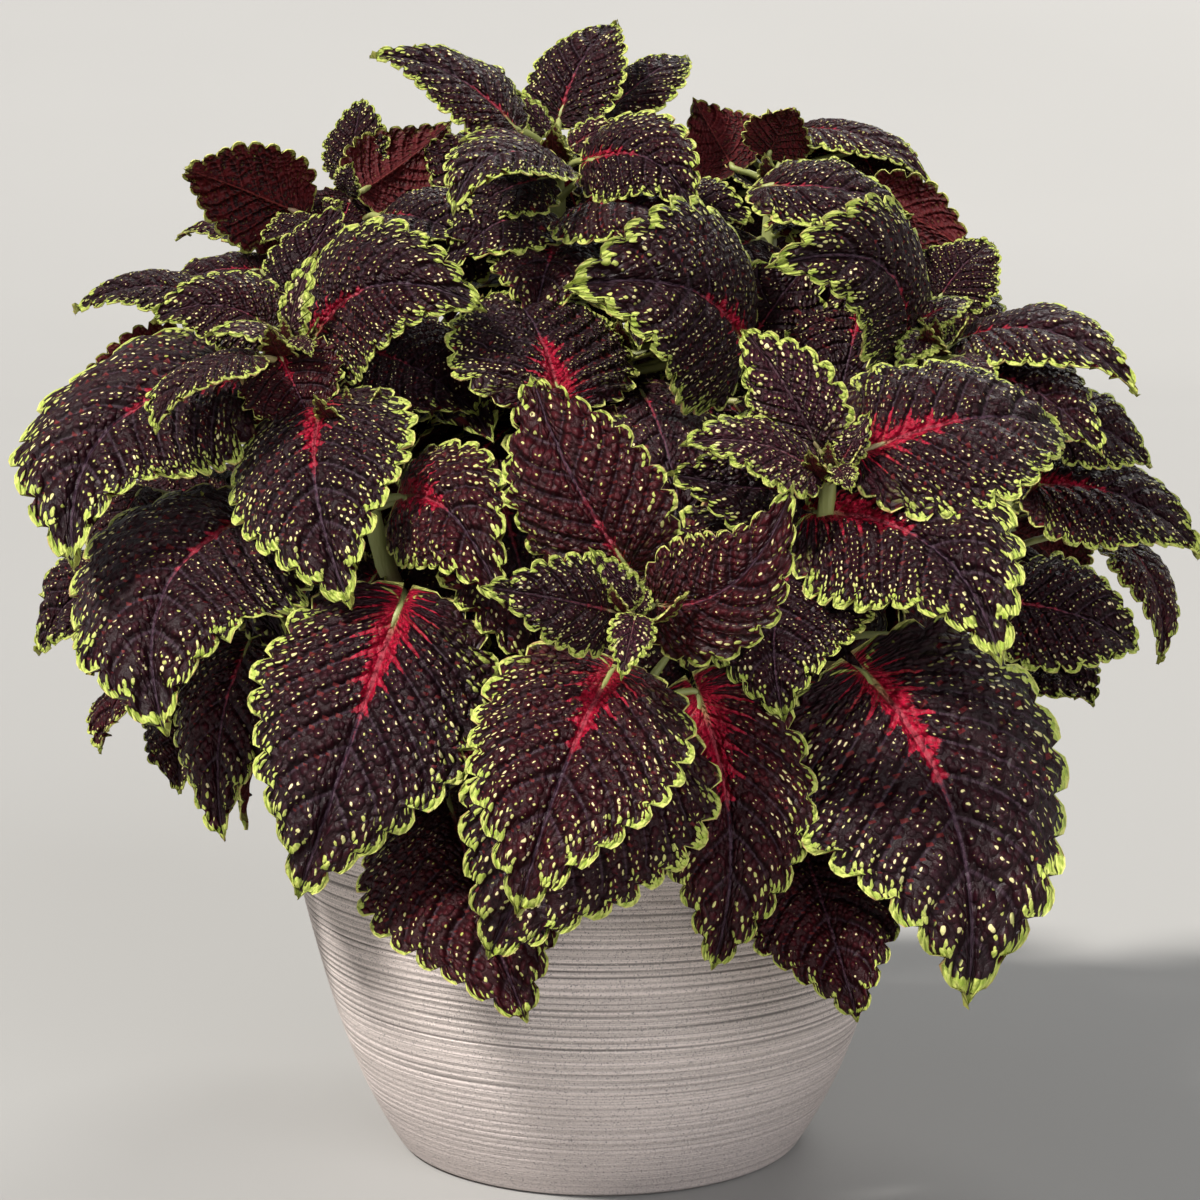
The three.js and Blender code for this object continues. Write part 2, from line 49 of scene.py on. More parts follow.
HOLE_DEPTH = 24  # how far a stem goes down into the soil
STEM_STAND = 6  # how far it stands straight up out of the soil
STEM_BENDS = (0.35, 0.7)  # where it bends, as shares of the way to its head
STEM_BULGE = 0.14  # how far it bows out before it turns upright
STEM_SAG = 0.035  # how far its upper bend hangs, as a share of its height
STEM_STEPS = 5
LEAF_NODES = 40  # places along a stem where leaf stalks may start
LOWEST_NODE = 0.2  # share of the stem below which none starts
NODE_INSET = 0.05
NODE_DROP = 5  # how far below its blade a stalk would rather start
STALK_STAGGER = (-1.95, -0.65, 0.65, 1.95)
BLADE_FOLD = 10  # degrees that each half of a blade rises from the midrib
BLADE_ROLL = 0.35  # how far the margins roll down again
LOBE_SETBACK = 0.07  # how far the base lobes reach back past the stalk
BLADE_OUTLINE = [  # (place along the blade, half width there), as shares
    (0, 0), (0.015, 0.3), (0.05, 0.62), (0.11, 0.84), (0.19, 0.96), (0.29, 1), (0.38, 0.98),
    (0.48, 0.92), (0.58, 0.8), (0.68, 0.63), (0.78, 0.43), (0.87, 0.25), (0.94, 0.12), (1, 0),
]

# Leaves: (blade base), (tip), width, (compass, rise) of the way the upper face looks, arch, sideways
# bend, and the look: (crimson at the base, lime and specks, youth, wine red).
TOP = [
    ((-35, -5, 420), (-93, -2, 448), 42, (5, 54), 0.12, -0.04, (0.25, 0.8, 0, 0.2)),
    ((-17, 26, 424), (8, 58, 465), 44, (-22, 28), 0.15, 0, (0.2, 0.8, 0, 0.25)),
    ((-22, 14, 418), (-38, 14, 436), 13, (0, 30), 0.08, 0, (0, 1.5, 1, 0)),
    ((-4, -22, 406), (37, -52, 383), 44, (-5, 28), 0.14, 0.16, (0.55, 1, 0, 0.15)),
    ((2, 50, 427), (38, 80, 452), 38, (-20, 52), 0.15, -0.1, (0.1, 0.8, 0, 0.1)),
    ((-16, -24, 404), (-56, -76, 384), 42, (-8, 50), 0.16, -0.12, (0.2, 0.9, 0, 0.2)),
    ((-22, -8, 410), (-56, -28, 413), 18, (-10, 60), 0.12, 0, (0.2, 0.9, 0.55, 0.5)),
    ((-11, -3, 412), (10, 0, 422), 15, (10, 40), 0.1, 0, (0.3, 0.7, 0.7, 0.6)),
    ((-6, -20, 388), (40, -58, 372), 56, (5, 50), 0.14, 0, (1.6, 0.8, 0, 0.3)),
    ((22, 5, 386), (62, -14, 382), 40, (0, 40), 0.1, 0, (0.2, 1.3, 0, 0.1)),
    ((-20, 40, 405), (-25, 95, 400), 50, (180, 60), 0.16, 0, (0.2, 0.7, 0, 0.2)),
    ((-20, 65, 350), (-25, 140, 325), 80, (180, 50), 0.16, 0, (0.2, 0.8, 0, 0.2)),
    ((16, 18, 352), (66, 2, 328), 62, (70, 55), 0.16, 0, (0.3, 0.9, 0, 0.2)),
    ((-45, 5, 351), (-100, 0, 335), 64, (-80, 60), 0.16, 0, (0.3, 0.9, 0, 0.2)),
    ((-24, 34, 374), (-66, 52, 370), 56, (0, 35), 0.12, 0, (0.2, 0.7, 0, 0.1)),
    ((0, 38, 372), (48, 62, 360), 56, (0, 40), 0.12, 0, (0.5, 0.7, 0, 0.1)),
]
BACK_LEFT = [
    ((-125, 30, 385), (-168, -5, 403), 46, (150, -10), 0.1, 0, (0.3, 0.6, 0, 0.9)),
    ((-105, 45, 400), (-101, 62, 434), 31, (-20, 20), 0.14, -0.04, (0.1, 1, 0, 0.1)),
    ((-99, 27, 394), (-62, 44, 424), 40, (170, -5), 0.12, 0, (0.3, 0.7, 0, 0.8)),
    ((-105, 20, 394), (-101, 10, 406), 14, (0, 30), 0.1, 0, (0, 1.3, 0.6, 0)),
    ((-112, 20, 380), (-105, 5, 390), 18, (-10, 20), 0.1, 0, (0.1, 0.8, 0.4, 0.3)),
    ((-110, 15, 377), (-138, -5, 373), 34, (0, 55), 0.12, 0, (0.2, 0.7, 0, 0.3)),
    ((-138, 52, 376), (-182, 58, 374), 36, (-30, 70), 0.14, 0, (0.2, 0.6, 0.2, 0.5)),
    ((-88, 0, 384), (-50, -30, 372), 56, (5, 45), 0.12, 0, (0.3, 1.4, 0, 0)),
    ((-120, 70, 385), (-150, 125, 365), 60, (160, 50), 0.18, 0, (0.2, 0.8, 0, 0.2)),
    ((-80, 86, 380), (-55, 138, 365), 52, (180, 50), 0.18, 0, (0.2, 0.8, 0, 0.2)),
    ((-116, 56, 352), (-172, 72, 322), 64, (-100, 45), 0.16, 0, (0.2, 0.9, 0, 0.2)),
    ((-88, 80, 205), (-124, 110, 128), 72, (-140, 20), 0.14, 0, (0.2, 0.9, 0, 0.2)),
]
LEFT = [
    ((-111, -65, 335), (-42, -96, 348), 62, (5, 28), 0.19, 0.15, (0.75, 0.9, 0, 0.15)),
    ((-126, -66, 341), (-172, -70, 343), 40, (-25, 36), 0.15, -0.1, (0.1, 1, 0.1, 0.4)),
    ((-130, -93, 331), (-163, -121, 304), 42, (-48, 40), 0.15, -0.07, (0.1, 1, 0.1, 0.3)),
    ((-118, -76, 339), (-106, -84, 371), 15, (-20, 20), 0.1, 0, (0, 1.5, 1, 0)),
    ((-121, -80, 338), (-148, -95, 339), 15, (-10, 50), 0.12, 0, (0.1, 1.4, 0.8, 0.3)),
    ((-115, -84, 338), (-108, -94, 331), 11, (20, 40), 0.1, 0, (0.2, 1, 0.8, 0.4)),
    ((-139, -65, 322), (-193, -125, 254), 86, (-18, 34), 0.1, -0.22, (0.7, 0.85, 0, 0.1)),
    ((-122, -48, 349), (-102, -30, 388), 34, (-10, 25), 0.1, 0, (0.1, 0.5, 0, 0.2)),
    ((-91, -55, 332), (-46, -75, 308), 64, (15, 35), 0.12, 0, (0.3, 0.5, 0, 0.1)),
    ((-160, -5, 352), (-212, -18, 346), 40, (-30, 55), 0.14, 0, (0.2, 1, 0, 0.1)),
    ((-140, 14, 362), (-185, 22, 352), 36, (-10, 62), 0.1, 0, (0.3, 0.5, 0, 0.3)),
    ((-165, -16, 328), (-206, -34, 322), 34, (165, -15), 0.1, 0, (0.2, 0.5, 0, 0.6)),
    ((-125, -10, 315), (-180, 25, 285), 76, (-110, 45), 0.16, 0, (0.2, 0.9, 0, 0.2)),
    ((-106, -2, 212), (-148, -4, 130), 76, (-90, 20), 0.14, 0, (0.3, 0.9, 0, 0.2)),
]
MIDDLE = [
    ((-15, -90, 315), (-40, -35, 353), 76, (22, 45), 0.15, 0, (1.3, 0.9, 0, 0.05)),
    ((55, -55, 334), (-14, -100, 357), 84, (-8, 22), 0.22, -0.08, (0.75, 1.45, 0, 0)),
    ((5, -41, 341), (-6, -35, 355), 14, (0, 30), 0.1, 0, (0.2, 1.2, 0.7, 0.2)),
]
UPPER_RIGHT = [
    ((121, -30, 335), (62, -85, 364), 62, (-12, 20), 0.2, -0.18, (0.2, 1.2, 0, 0)),
    ((145, -25, 335), (210, -55, 314), 52, (30, 46), 0.2, 0.02, (0.3, 0.9, 0, 0.1)),
    ((130, -38, 337), (114, -62, 323), 16, (-10, 30), 0.1, 0, (0, 1.5, 1, 0)),
    ((142, -46, 329), (152, -69, 317), 18, (10, 30), 0.1, 0, (0.1, 1.2, 0.6, 0.2)),
    ((128, -32, 343), (150, -18, 350), 16, (0, 50), 0.1, 0, (0.5, 1, 0.8, 0.5)),
    ((138, 2, 350), (163, 20, 373), 38, (-5, 45), 0.14, 0, (0.1, 1.3, 0.1, 0.1)),
    ((152, -40, 323), (194, -70, 292), 50, (25, 35), 0.12, 0, (0.2, 0.8, 0, 0.1)),
    ((176, -30, 307), (223, -20, 283), 46, (30, 40), 0.12, 0, (0.4, 0.9, 0, 0.1)),
    ((150, 35, 330), (205, 55, 305), 56, (100, 45), 0.16, 0, (0.2, 0.9, 0, 0.2)),
]
BACK_RIGHT = [
    ((57, 55, 404), (40, 75, 435), 40, (175, -5), 0.1, 0, (0.4, 0.6, 0, 0.9)),
    ((71, 48, 410), (82, 38, 429), 32, (200, 0), 0.1, 0, (0.2, 0.8, 0.2, 0.8)),
    ((86, 68, 421), (142, 52, 395), 38, (0, 68), 0.15, 0, (0.2, 0.8, 0.1, 0.4)),
    ((113, 40, 393), (157, 25, 367), 34, (150, 0), 0.12, 0, (0.4, 0.6, 0, 0.9)),
    ((67, 5, 396), (128, 15, 383), 46, (8, 50), 0.2, -0.12, (0.2, 1.4, 0, 0.1)),
    ((82, 62, 396), (116, 98, 406), 40, (180, 30), 0.12, 0, (0.1, 1.3, 0, 0.2)),
    ((98, 24, 380), (128, 18, 352), 46, (20, 40), 0.12, 0, (0.2, 0.8, 0, 0.2)),
    ((60, 75, 395), (45, 130, 378), 56, (190, 50), 0.18, 0, (0.2, 0.8, 0, 0.2)),
    ((100, 80, 390), (150, 110, 362), 60, (140, 50), 0.18, 0, (0.2, 0.8, 0, 0.2)),
    ((92, 78, 340), (142, 123, 300), 76, (140, 40), 0.18, 0, (0.2, 0.9, 0, 0.2)),
    ((62, 66, 374), (98, 84, 345), 56, (0, 35), 0.12, 0, (0.2, 0.7, 0, 0.1)),
]
RIGHT = [
    ((80, -124, 299), (52, -106, 342), 36, (-30, 16), 0.16, -0.08, (0, 1.3, 0.45, 0.2)),
    ((79, -131, 291), (28, -147, 302), 36, (0, 48), 0.1, -0.06, (0.1, 1, 0.5, 0.4)),
    ((96, -118, 297), (178, -78, 299), 78, (18, 48), 0.2, -0.03, (1, 0.9, 0, 0.1)),
    ((79, -118, 275), (140, -178, 227), 76, (5, 28), 0.08, 0.16, (1.05, 1.35, 0, 0.05)),
    ((88, -128, 295), (98, -128, 313), 13, (10, 20), 0.1, 0, (0.3, 0.9, 0.8, 0.6)),
    ((86, -134, 293), (90, -148, 285), 12, (0, 20), 0.1, 0, (0.2, 1, 0.8, 0.5)),
    ((76, -105, 284), (24, -130, 291), 46, (-5, 25), 0.12, 0.1, (0.2, 0.7, 0, 0.05)),
    ((72, -125, 258), (66, -160, 204), 66, (-10, 14), 0.12, -0.08, (0.1, 1.05, 0, 0.05)),
    ((97, -130, 217), (131, -170, 102), 114, (15, 15), 0.14, 0.08, (0.8, 1.05, 0, 0)),
    ((74, -125, 154), (93, -165, 95), 66, (5, 5), 0.12, 0, (0.1, 0.35, 0, 0.7)),
]
FRONT = [
    ((10, -174, 261), (-24, -150, 327), 56, (-20, 14), 0.18, 0, (0.25, 0.45, 0, 1)),
    ((19, -178, 249), (65, -205, 294), 44, (0, 22), 0.1, -0.2, (0.15, 0.35, 0, 0.85)),
    ((5, -190, 248), (-40, -214, 260), 34, (-6, 15), 0.1, 0, (0.15, 1.15, 0.15, 0.15)),
    ((12, -190, 251), (-4, -194, 271), 13, (-10, 30), 0.08, 0, (0, 1.5, 0.9, 0)),
    ((12, -196, 247), (7, -214, 228), 16, (0, 20), 0.1, 0, (0.1, 1.2, 0.8, 0.4)),
    ((4, -182, 226), (-28, -222, 148), 76, (-9, 17), 0.18, 0, (0.95, 1, 0, 0.55)),
    ((18, -165, 208), (-40, -175, 121), 86, (-5, 12), 0.16, -0.03, (0.2, 0.8, 0, 0.3)),
    ((35, -150, 213), (40, -162, 113), 64, (-5, 10), 0.14, 0.1, (1.2, 0.55, 0, 0.6)),
]
FRONT_LEFT = [
    ((-105, -90, 313), (-89, -150, 243), 76, (-20, 26), 0.12, -0.03, (0.75, 1.25, 0, 0.05)),
    ((-73, -110, 280), (-34, -160, 245), 52, (-12, 10), 0.16, 0.15, (1.5, 0.9, 0, 0.6)),
    ((-72, -140, 244), (-109, -160, 139), 88, (-12, 12), 0.12, 0.03, (0.95, 0.75, 0, 0.1)),
    ((-56, -125, 168), (-26, -170, 96), 84, (0, 8), 0.14, 0, (0.1, 0.45, 0, 0.8)),
]
LOWER_LEFT = [
    ((-134, -80, 269), (-158, -140, 195), 98, (-20, 21), 0.16, -0.14, (0.3, 0.8, 0, 0.1)),
    ((-135, -75, 221), (-142, -110, 149), 54, (-30, 10), 0.14, 0, (0.2, 0.7, 0, 0.4)),
    ((-173, -60, 211), (-193, -85, 178), 44, (-50, 0), 0.12, 0, (0.2, 0.7, 0.1, 0.9)),
    ((-184, -60, 250), (-219, -70, 214), 56, (-45, 25), 0.14, 0, (0.1, 1, 0, 0.1)),
    ((-157, -60, 199), (-164, -75, 160), 46, (-30, 5), 0.12, 0, (0.2, 0.6, 0, 0.5)),
    ((-150, -20, 270), (-215, -5, 250), 66, (-80, 45), 0.18, 0, (0.2, 0.9, 0, 0.2)),
]
LOWER_RIGHT = [
    ((154, -80, 237), (209, -75, 217), 52, (28, 28), 0.2, -0.03, (0.2, 0.9, 0, 0.1)),
    ((172, -30, 277), (242, -28, 247), 64, (38, 46), 0.15, 0.03, (0.75, 0.9, 0, 0.1)),
    ((211, -10, 255), (226, -30, 204), 36, (43, 26), 0.18, 0, (0.2, 0.9, 0.1, 0.8)),
    ((165, -65, 215), (189, -92, 198), 46, (30, 10), 0.1, 0, (0.2, 0.8, 0, 0.2)),
    ((150, 20, 250), (215, 30, 200), 78, (90, 40), 0.16, 0, (0.3, 0.9, 0, 0.2)),
    ((122, -46, 196), (158, -60, 114), 76, (75, 20), 0.14, 0, (0.3, 0.9, 0, 0.2)),
    ((112, 14, 205), (157, 20, 124), 76, (95, 20), 0.14, 0, (0.3, 0.9, 0, 0.3)),
]

# each leafy stem: foot in the soil, head, leaves, turn about the planter's axis in degrees
STEMS = {
    "shoot_top": ((-5, 8), (-18, 10, 413), TOP, 0),
    "shoot_back_left": ((-32, 28), (-106, 45, 397), BACK_LEFT, 0),
    "shoot_left": ((-48, -8), (-119, -75, 337), LEFT, 0),
    "shoot_middle": ((14, -22), (10, -45, 336), MIDDLE, 0),
    "shoot_upper_right": ((44, 6), (134, -32, 336), UPPER_RIGHT, 0),
    "shoot_back_right": ((25, 37), (74, 53, 402), BACK_RIGHT, 0),
    "shoot_right": ((42, -48), (85, -124, 294), RIGHT, 0),
    "shoot_front": ((6, -62), (10, -186, 250), FRONT, 0),
    "shoot_front_left": ((-30, -52), (-92, -95, 312), FRONT_LEFT, 0),
    "shoot_lower_left": ((-68, -26), (-146, -62, 270), LOWER_LEFT, 0),
    "shoot_lower_right": ((68, -18), (166, -30, 274), LOWER_RIGHT, 0),
}
# on the hidden sides: a stem above, turned
for turned_stem, source, turn in (
    ("shoot_back", "shoot_front", 180),
    ("shoot_far_left", "shoot_right", 180),
    ("shoot_far_right", "shoot_front_left", 184),
    ("shoot_side_left", "shoot_lower_left", -41),
    ("shoot_side_right", "shoot_lower_left", 184),
):
    STEMS[turned_stem] = (*STEMS[source][:3], turn)

# leaves that only the scene has, where the photo shows closed foliage
COVER = {
    "shoot_top": [
        ((-24, -10, 386), (-62, -36, 362), 46, (-15, 42), 0.14, 0, (0.3, 0.9, 0, 0.1)),
        ((-22, -4, 399), (-58, -14, 378), 40, (-20, 48), 0.14, 0, (0.3, 0.9, 0, 0.2)),
        ((-6, -4, 399), (34, -6, 380), 40, (15, 48), 0.14, 0, (0.9, 0.9, 0, 0.2)),
        ((-16, -18, 374), (-26, -60, 340), 50, (-5, 34), 0.14, 0, (0.9, 0.8, 0, 0.2)),
        ((-2, -14, 376), (32, -44, 346), 52, (15, 40), 0.14, 0, (0.4, 0.9, 0, 0.1)),
        ((-16, 26, 402), (-4, 30, 370), 46, (0, 30), 0.12, 0, (0.9, 0.9, 0, 0.2)),
        ((-44, 34, 398), (-74, 42, 412), 44, (-10, 35), 0.1, 0, (0.2, 0.6, 0, 0.5)),
        ((-52, 6, 384), (-74, -6, 346), 50, (-10, 35), 0.12, 0, (0.2, 0.7, 0, 0.2)),
    ],
    "shoot_back_right": [
        ((84, 30, 386), (102, -8, 362), 44, (12, 45), 0.14, 0, (0.3, 0.9, 0, 0.2)),
        ((64, 14, 374), (36, -14, 352), 46, (-10, 45), 0.14, 0, (0.3, 0.9, 0, 0.1)),
        ((70, 2, 350), (86, -14, 304), 54, (5, 22), 0.14, 0, (0.5, 0.9, 0, 0.1)),
        ((88, 68, 412), (118, 58, 396), 42, (0, 50), 0.14, 0, (0.3, 1, 0.1, 0.2)),
        ((58, 76, 414), (66, 84, 372), 50, (0, 30), 0.1, 0, (0.3, 0.8, 0, 0.3)),
        ((112, 62, 411), (124, 60, 385), 44, (0, 30), 0.1, 0, (0.3, 0.6, 0, 0.9)),
    ],
    "shoot_back_left": [((-104, 36, 392), (-112, 24, 362), 48, (-5, 35), 0.1, 0, (0.2, 0.6, 0, 0.3))],
    "shoot_lower_left": [((-182, -44, 276), (-194, -54, 240), 44, (-40, 25), 0.12, 0, (0.2, 0.8, 0, 0.2))],
    "shoot_left": [((-121, -82, 331), (-106, -90, 301), 42, (-5, 20), 0.12, 0, (0.7, 0.3, 0, 0.9))],
    "shoot_middle": [((58, -22, 330), (86, -10, 367), 54, (-5, 20), 0.14, 0, (0.3, 1.2, 0, 0))],
    "shoot_upper_right": [
        ((104, -20, 346), (92, -50, 304), 54, (0, 28), 0.14, 0, (0.6, 1, 0, 0.1)),
        ((104, -2, 374), (86, -22, 340), 48, (0, 34), 0.14, 0, (0.3, 1, 0, 0.1)),
        ((138, 6, 352), (164, -6, 330), 42, (20, 42), 0.14, 0, (0.2, 1, 0, 0.2)),
    ],
}

# ---- what only the scene has, in millimetres ----
MILLIMETRE = 0.001
SKIN = 0.25  # half the thickness of a blade
# blades at least this wide get this many teeth a side, rows a tooth and columns
DETAIL = [(60, 12, 5, 21), (38, 11, 5, 17), (25, 9, 5, 13), (16, 8, 4, 11), (0, 6, 4, 9)]
INNER_DETAIL = [(0, 9, 3, 9)]
# blades at least this wide have this many rows of blisters between two side veins, and blisters of
# this length as a share of the blade's
CELLS = [(60, 3.0, 0.029), (30, 2.0, 0.036), (0, 1.0, 0.06)]
# A side vein runs to each notch of the margin. The higher the lean, the nearer to the base it
# leaves the midrib.
VEIN_LEAN = 2.6
PAST_TIP = 1.05  # where the last side vein would end
VEIN_SPACING = 0.85  # between two side veins, as a share of the blade's length a tooth

TOOTH_DEPTH = 0.36  # of a tooth's length along the margin
TOOTH_CREST = 0.72  # the share of it that is cut in, where the rest stands out
TOOTH_LEAN = 1.3  # over 1 leans the teeth towards the tip
TOOTH_UNEVEN = 0.28
QUILT_HEIGHT, BLISTER_HEIGHT, MIDRIB_DIP, KEEL_DEPTH = 2.4, 0.7, 0.8, 0.9
RUFFLE, FLUTTER = 0.05, 0.012  # of the margin, as shares of the blade's width
FULL_RELIEF_WIDTH = 60  # narrower blades have less relief
LOOK_LENGTH = 90  # the materials' millimetres are those of a blade this long

STALK_BEND, STALK_RISE = 0.55, 0.06
STALK_SIDES, STALK_STEPS = 8, 15
STALK_RADII = [0, 0.08, 0.3, 0.8, 1], [2.3, 1.75, 1.45, 1.35, 0.5]
STEM_RADII = [0, 0.6, 0.93, 1], [4.1, 3.9, 3.2, 1.5]
STEM_SIDES, STEM_PATH_STEPS, STEM_CORNERS = 16, 44, 0.09
STEM_JOINTS, JOINT_LENGTH, JOINT_SWELL = 9, 0.09, 0.5
FIRST_SEED, STEM_SEED_STEP, LEAF_SEED_STEP = 3.1, 17.3, 1.37
INNER_SEED_SHIFT, YOUNG_SEED_SHIFT = 50, 90
INNER_LEAVES, INNER_SEED = 100, 11
INNER_HEIGHTS = (-0.42, 0.98)  # from the lowest inner leaf to the highest, on a dome of radius 1
INNER_REACH = (0.58, 0.78)  # how far out they sit, as a share of the outer leaves beside them
INNER_LENGTHS, INNER_WIDTHS = (58, 82), (0.7, 0.82)  # widths as shares of the length
INNER_TWIST, INNER_DROOP, INNER_ARCH = 1.1, -0.9, 0.13
BESIDE = 0.86  # the cosine within which an outer leaf is beside an inner one
GOLDEN_ANGLE = 2.39996
MIDDLE_OF_PLANT = np.array([0, 0, 210])
YOUNG_PAIRS = [(10, 6, 72), (16, 9.5, 52), (24, 14, 34)]  # length, width and slope of each pair
YOUNG_STALK_DROP = 4  # how far under the head their stalks start

POT_SIDES, POT_WALL_STEPS, POT_FOOT_STEPS, POT_LIP_STEPS = 144, 290, 6, 40
POT_FOOT = [(79.5, 0.0), (82.6, 0.25), (84.6, 1.1), (85.5, 2.0)]
CENTRE_RADIUS = 40  # of the flat middle of the planter's underside and floor
GROOVES_FROM, GROOVES_TO, GROOVE_DEPTH = 15, 131, 0.75
GROOVE_PITCH, MOST_GROOVES, GROOVE_SEED = (2.1, 3.3), 60, 4
GROOVE_WIDTHS, GROOVE_SHARES = (0.42, 0.75), (0.45, 1.0)  # shares of the depth
GROOVE_FADE = [15, 40, 75], [0.4, 0.55, 1]  # heights, and the share of the depth there
SOIL_WALL = [(74.6, 9.3), (89.6, 23), (104.1, 60), (121.0, 126)]
SOIL_RINGS = 56
LUMPS = [(1.1, 9, 3), (0.9, 3.7, 8), (0.5, 1.7, 5)]  # height, size and seed

UPPER, UNDER, GREEN = 0, 1, 2  # material places of a leafy stem


# ---- curves ----
def catmull_rom(points, shares):
    """Places along a centripetal curve through the points, at shares of its count of pieces."""
    points = np.asarray(points, float)
    ends = np.vstack([2 * points[0] - points[1], points, 2 * points[-1] - points[-2]])
    pieces = len(points) - 1
    places = []
    for share in np.atleast_1d(shares):
        piece = min(int(share * pieces), pieces - 1)
        weight = share * pieces - piece
        before, start, end, after = ends[piece:piece + 4]
        spans = (before, start), (start, end), (end, after)
        gaps = [max(np.linalg.norm(b - a), 1e-9) ** 0.5 for a, b in spans]
        leave = (start - before) / gaps[0] - (end - before) / (gaps[0] + gaps[1]) + (end - start) / gaps[1]
        arrive = (end - start) / gaps[1] - (after - start) / (gaps[1] + gaps[2]) + (after - end) / gaps[2]
        leave, arrive = leave * gaps[1], arrive * gaps[1]
        places.append(
            start + leave * weight
            + (3 * (end - start) - 2 * leave - arrive) * weight ** 2
            + (2 * (start - end) + leave + arrive) * weight ** 3
        )
    return np.array(places)


def spaced(points, count):
    """count + 1 places at even distances along the curve through the points."""
    fine = catmull_rom(points, np.linspace(0, 1, 200))
    reach = np.concatenate([[0], np.cumsum(np.linalg.norm(np.diff(fine, axis=0), axis=1))])
    even = np.linspace(0, reach[-1], count + 1)
    return np.stack([np.interp(even, reach, fine[:, k]) for k in range(3)], 1)


def spaced_outline(points, count):
    """The same for (radius, height) places."""
    return spaced([(radius, height, 0) for radius, height in points], count)[:, :2]


def unit(vectors):
    return vectors / np.maximum(np.linalg.norm(vectors, axis=-1, keepdims=True), 1e-12)


def turned(points, turn):
    """The points, turned about the planter's axis by degrees."""
    c, s = math.cos(math.radians(turn)), math.sin(math.radians(turn))
    return points @ np.array([[c, s, 0], [-s, c, 0], [0, 0, 1]])


def compass_way(compass, rise):
    """The unit vector of a compass angle, which is 0 towards the photo's side, and a rise."""
    compass, rise = np.radians((compass, rise))
    level = math.cos(rise)
    return np.array([math.sin(compass) * level, -math.cos(compass) * level, math.sin(rise)])


def smooth_outline(s):
    """Half width of a blade as a share of its widest place, rounded between the listed places."""
    places, widths = np.array(BLADE_OUTLINE).T
    step = np.diff(widths) / np.diff(places)
    slope = np.concatenate([[step[0]], (step[:-1] + step[1:]) / 2, [step[-1]]])
    slope[1:-1][step[:-1] * step[1:] <= 0] = 0
    k = np.clip(np.searchsorted(places, s, side="right") - 1, 0, len(places) - 2)
    gap = places[k + 1] - places[k]
    w = (s - places[k]) / gap
    return (
        widths[k] * (1 + 2 * w) * (1 - w) ** 2 + slope[k] * gap * w * (1 - w) ** 2
        + widths[k + 1] * w ** 2 * (3 - 2 * w) + slope[k + 1] * gap * w ** 2 * (w - 1)
    )


def soft_noise(x, y, seed):
    """Smooth noise from -1 to 1 on a plane of unit cells."""
    def corner(i, j):
        value = np.sin(i * 127.1 + j * 311.7 + seed * 74.7) * 43758.5453
        return (value - np.floor(value)) * 2 - 1
    i, j = np.floor(x), np.floor(y)
    u, v = x - i, y - j
    u, v = u * u * (3 - 2 * u), v * v * (3 - 2 * v)
    low = corner(i, j) * (1 - u) + corner(i + 1, j) * u
    high = corner(i, j + 1) * (1 - u) + corner(i + 1, j + 1) * u
    return low * (1 - v) + high * v


def for_width(table, width):
    return next(row[1:] for row in table if width >= row[0])


# ---- leaf blades: s runs from base to tip, t across from -1 to 1 ----
def blade_frame(base, tip, faces):
    along = np.subtract(tip, base).astype(float)
    length = np.linalg.norm(along)
    along /= length
    out = compass_way(*faces)
    out = unit(out - along * out.dot(along))
    return length, along, out, np.cross(out, along)


def blade_points(leaf, s, t, half):
    """Points of the blade's middle surface; half is its half width at s."""
    base, tip, width, faces, arch, bend, _ = leaf
    length, along, out, across = blade_frame(base, tip, faces)
    offset = t * half
    place = s - LOBE_SETBACK * np.abs(t) ** 1.5 * (1 - s) ** 2
    bow = 4 * place * (1 - place) * length
    slope = 4 * (1 - 2 * place)[..., None]
    sideways = unit(across - along * slope * bend)
    upward = unit(out - along * slope * arch)
    fold = math.radians(BLADE_FOLD)
    rise = np.abs(offset) * math.sin(fold) - BLADE_ROLL * offset ** 2 / (width / 2)
    return (
        np.array(base, float) + along * (place * length)[..., None] + out * (arch * bow)[..., None]
        + across * (bend * bow)[..., None] + sideways * (offset * math.cos(fold))[..., None]
        + upward * rise[..., None]
    )


def vein_numbers(s, t, ends):
    """Which side vein each place of the blade is on, with fractions between two of them."""
    starts = 0.9 * ends ** VEIN_LEAN - 0.04 * (1 - ends)
    numbers = np.empty_like(s)
    for column in range(s.shape[1]):
        spread = 0.85 * abs(t[0, column]) + 0.15 * abs(t[0, column]) ** 3
        numbers[:, column] = np.interp(s[:, column], starts + (ends - starts) * spread, np.arange(len(ends)))
    return numbers


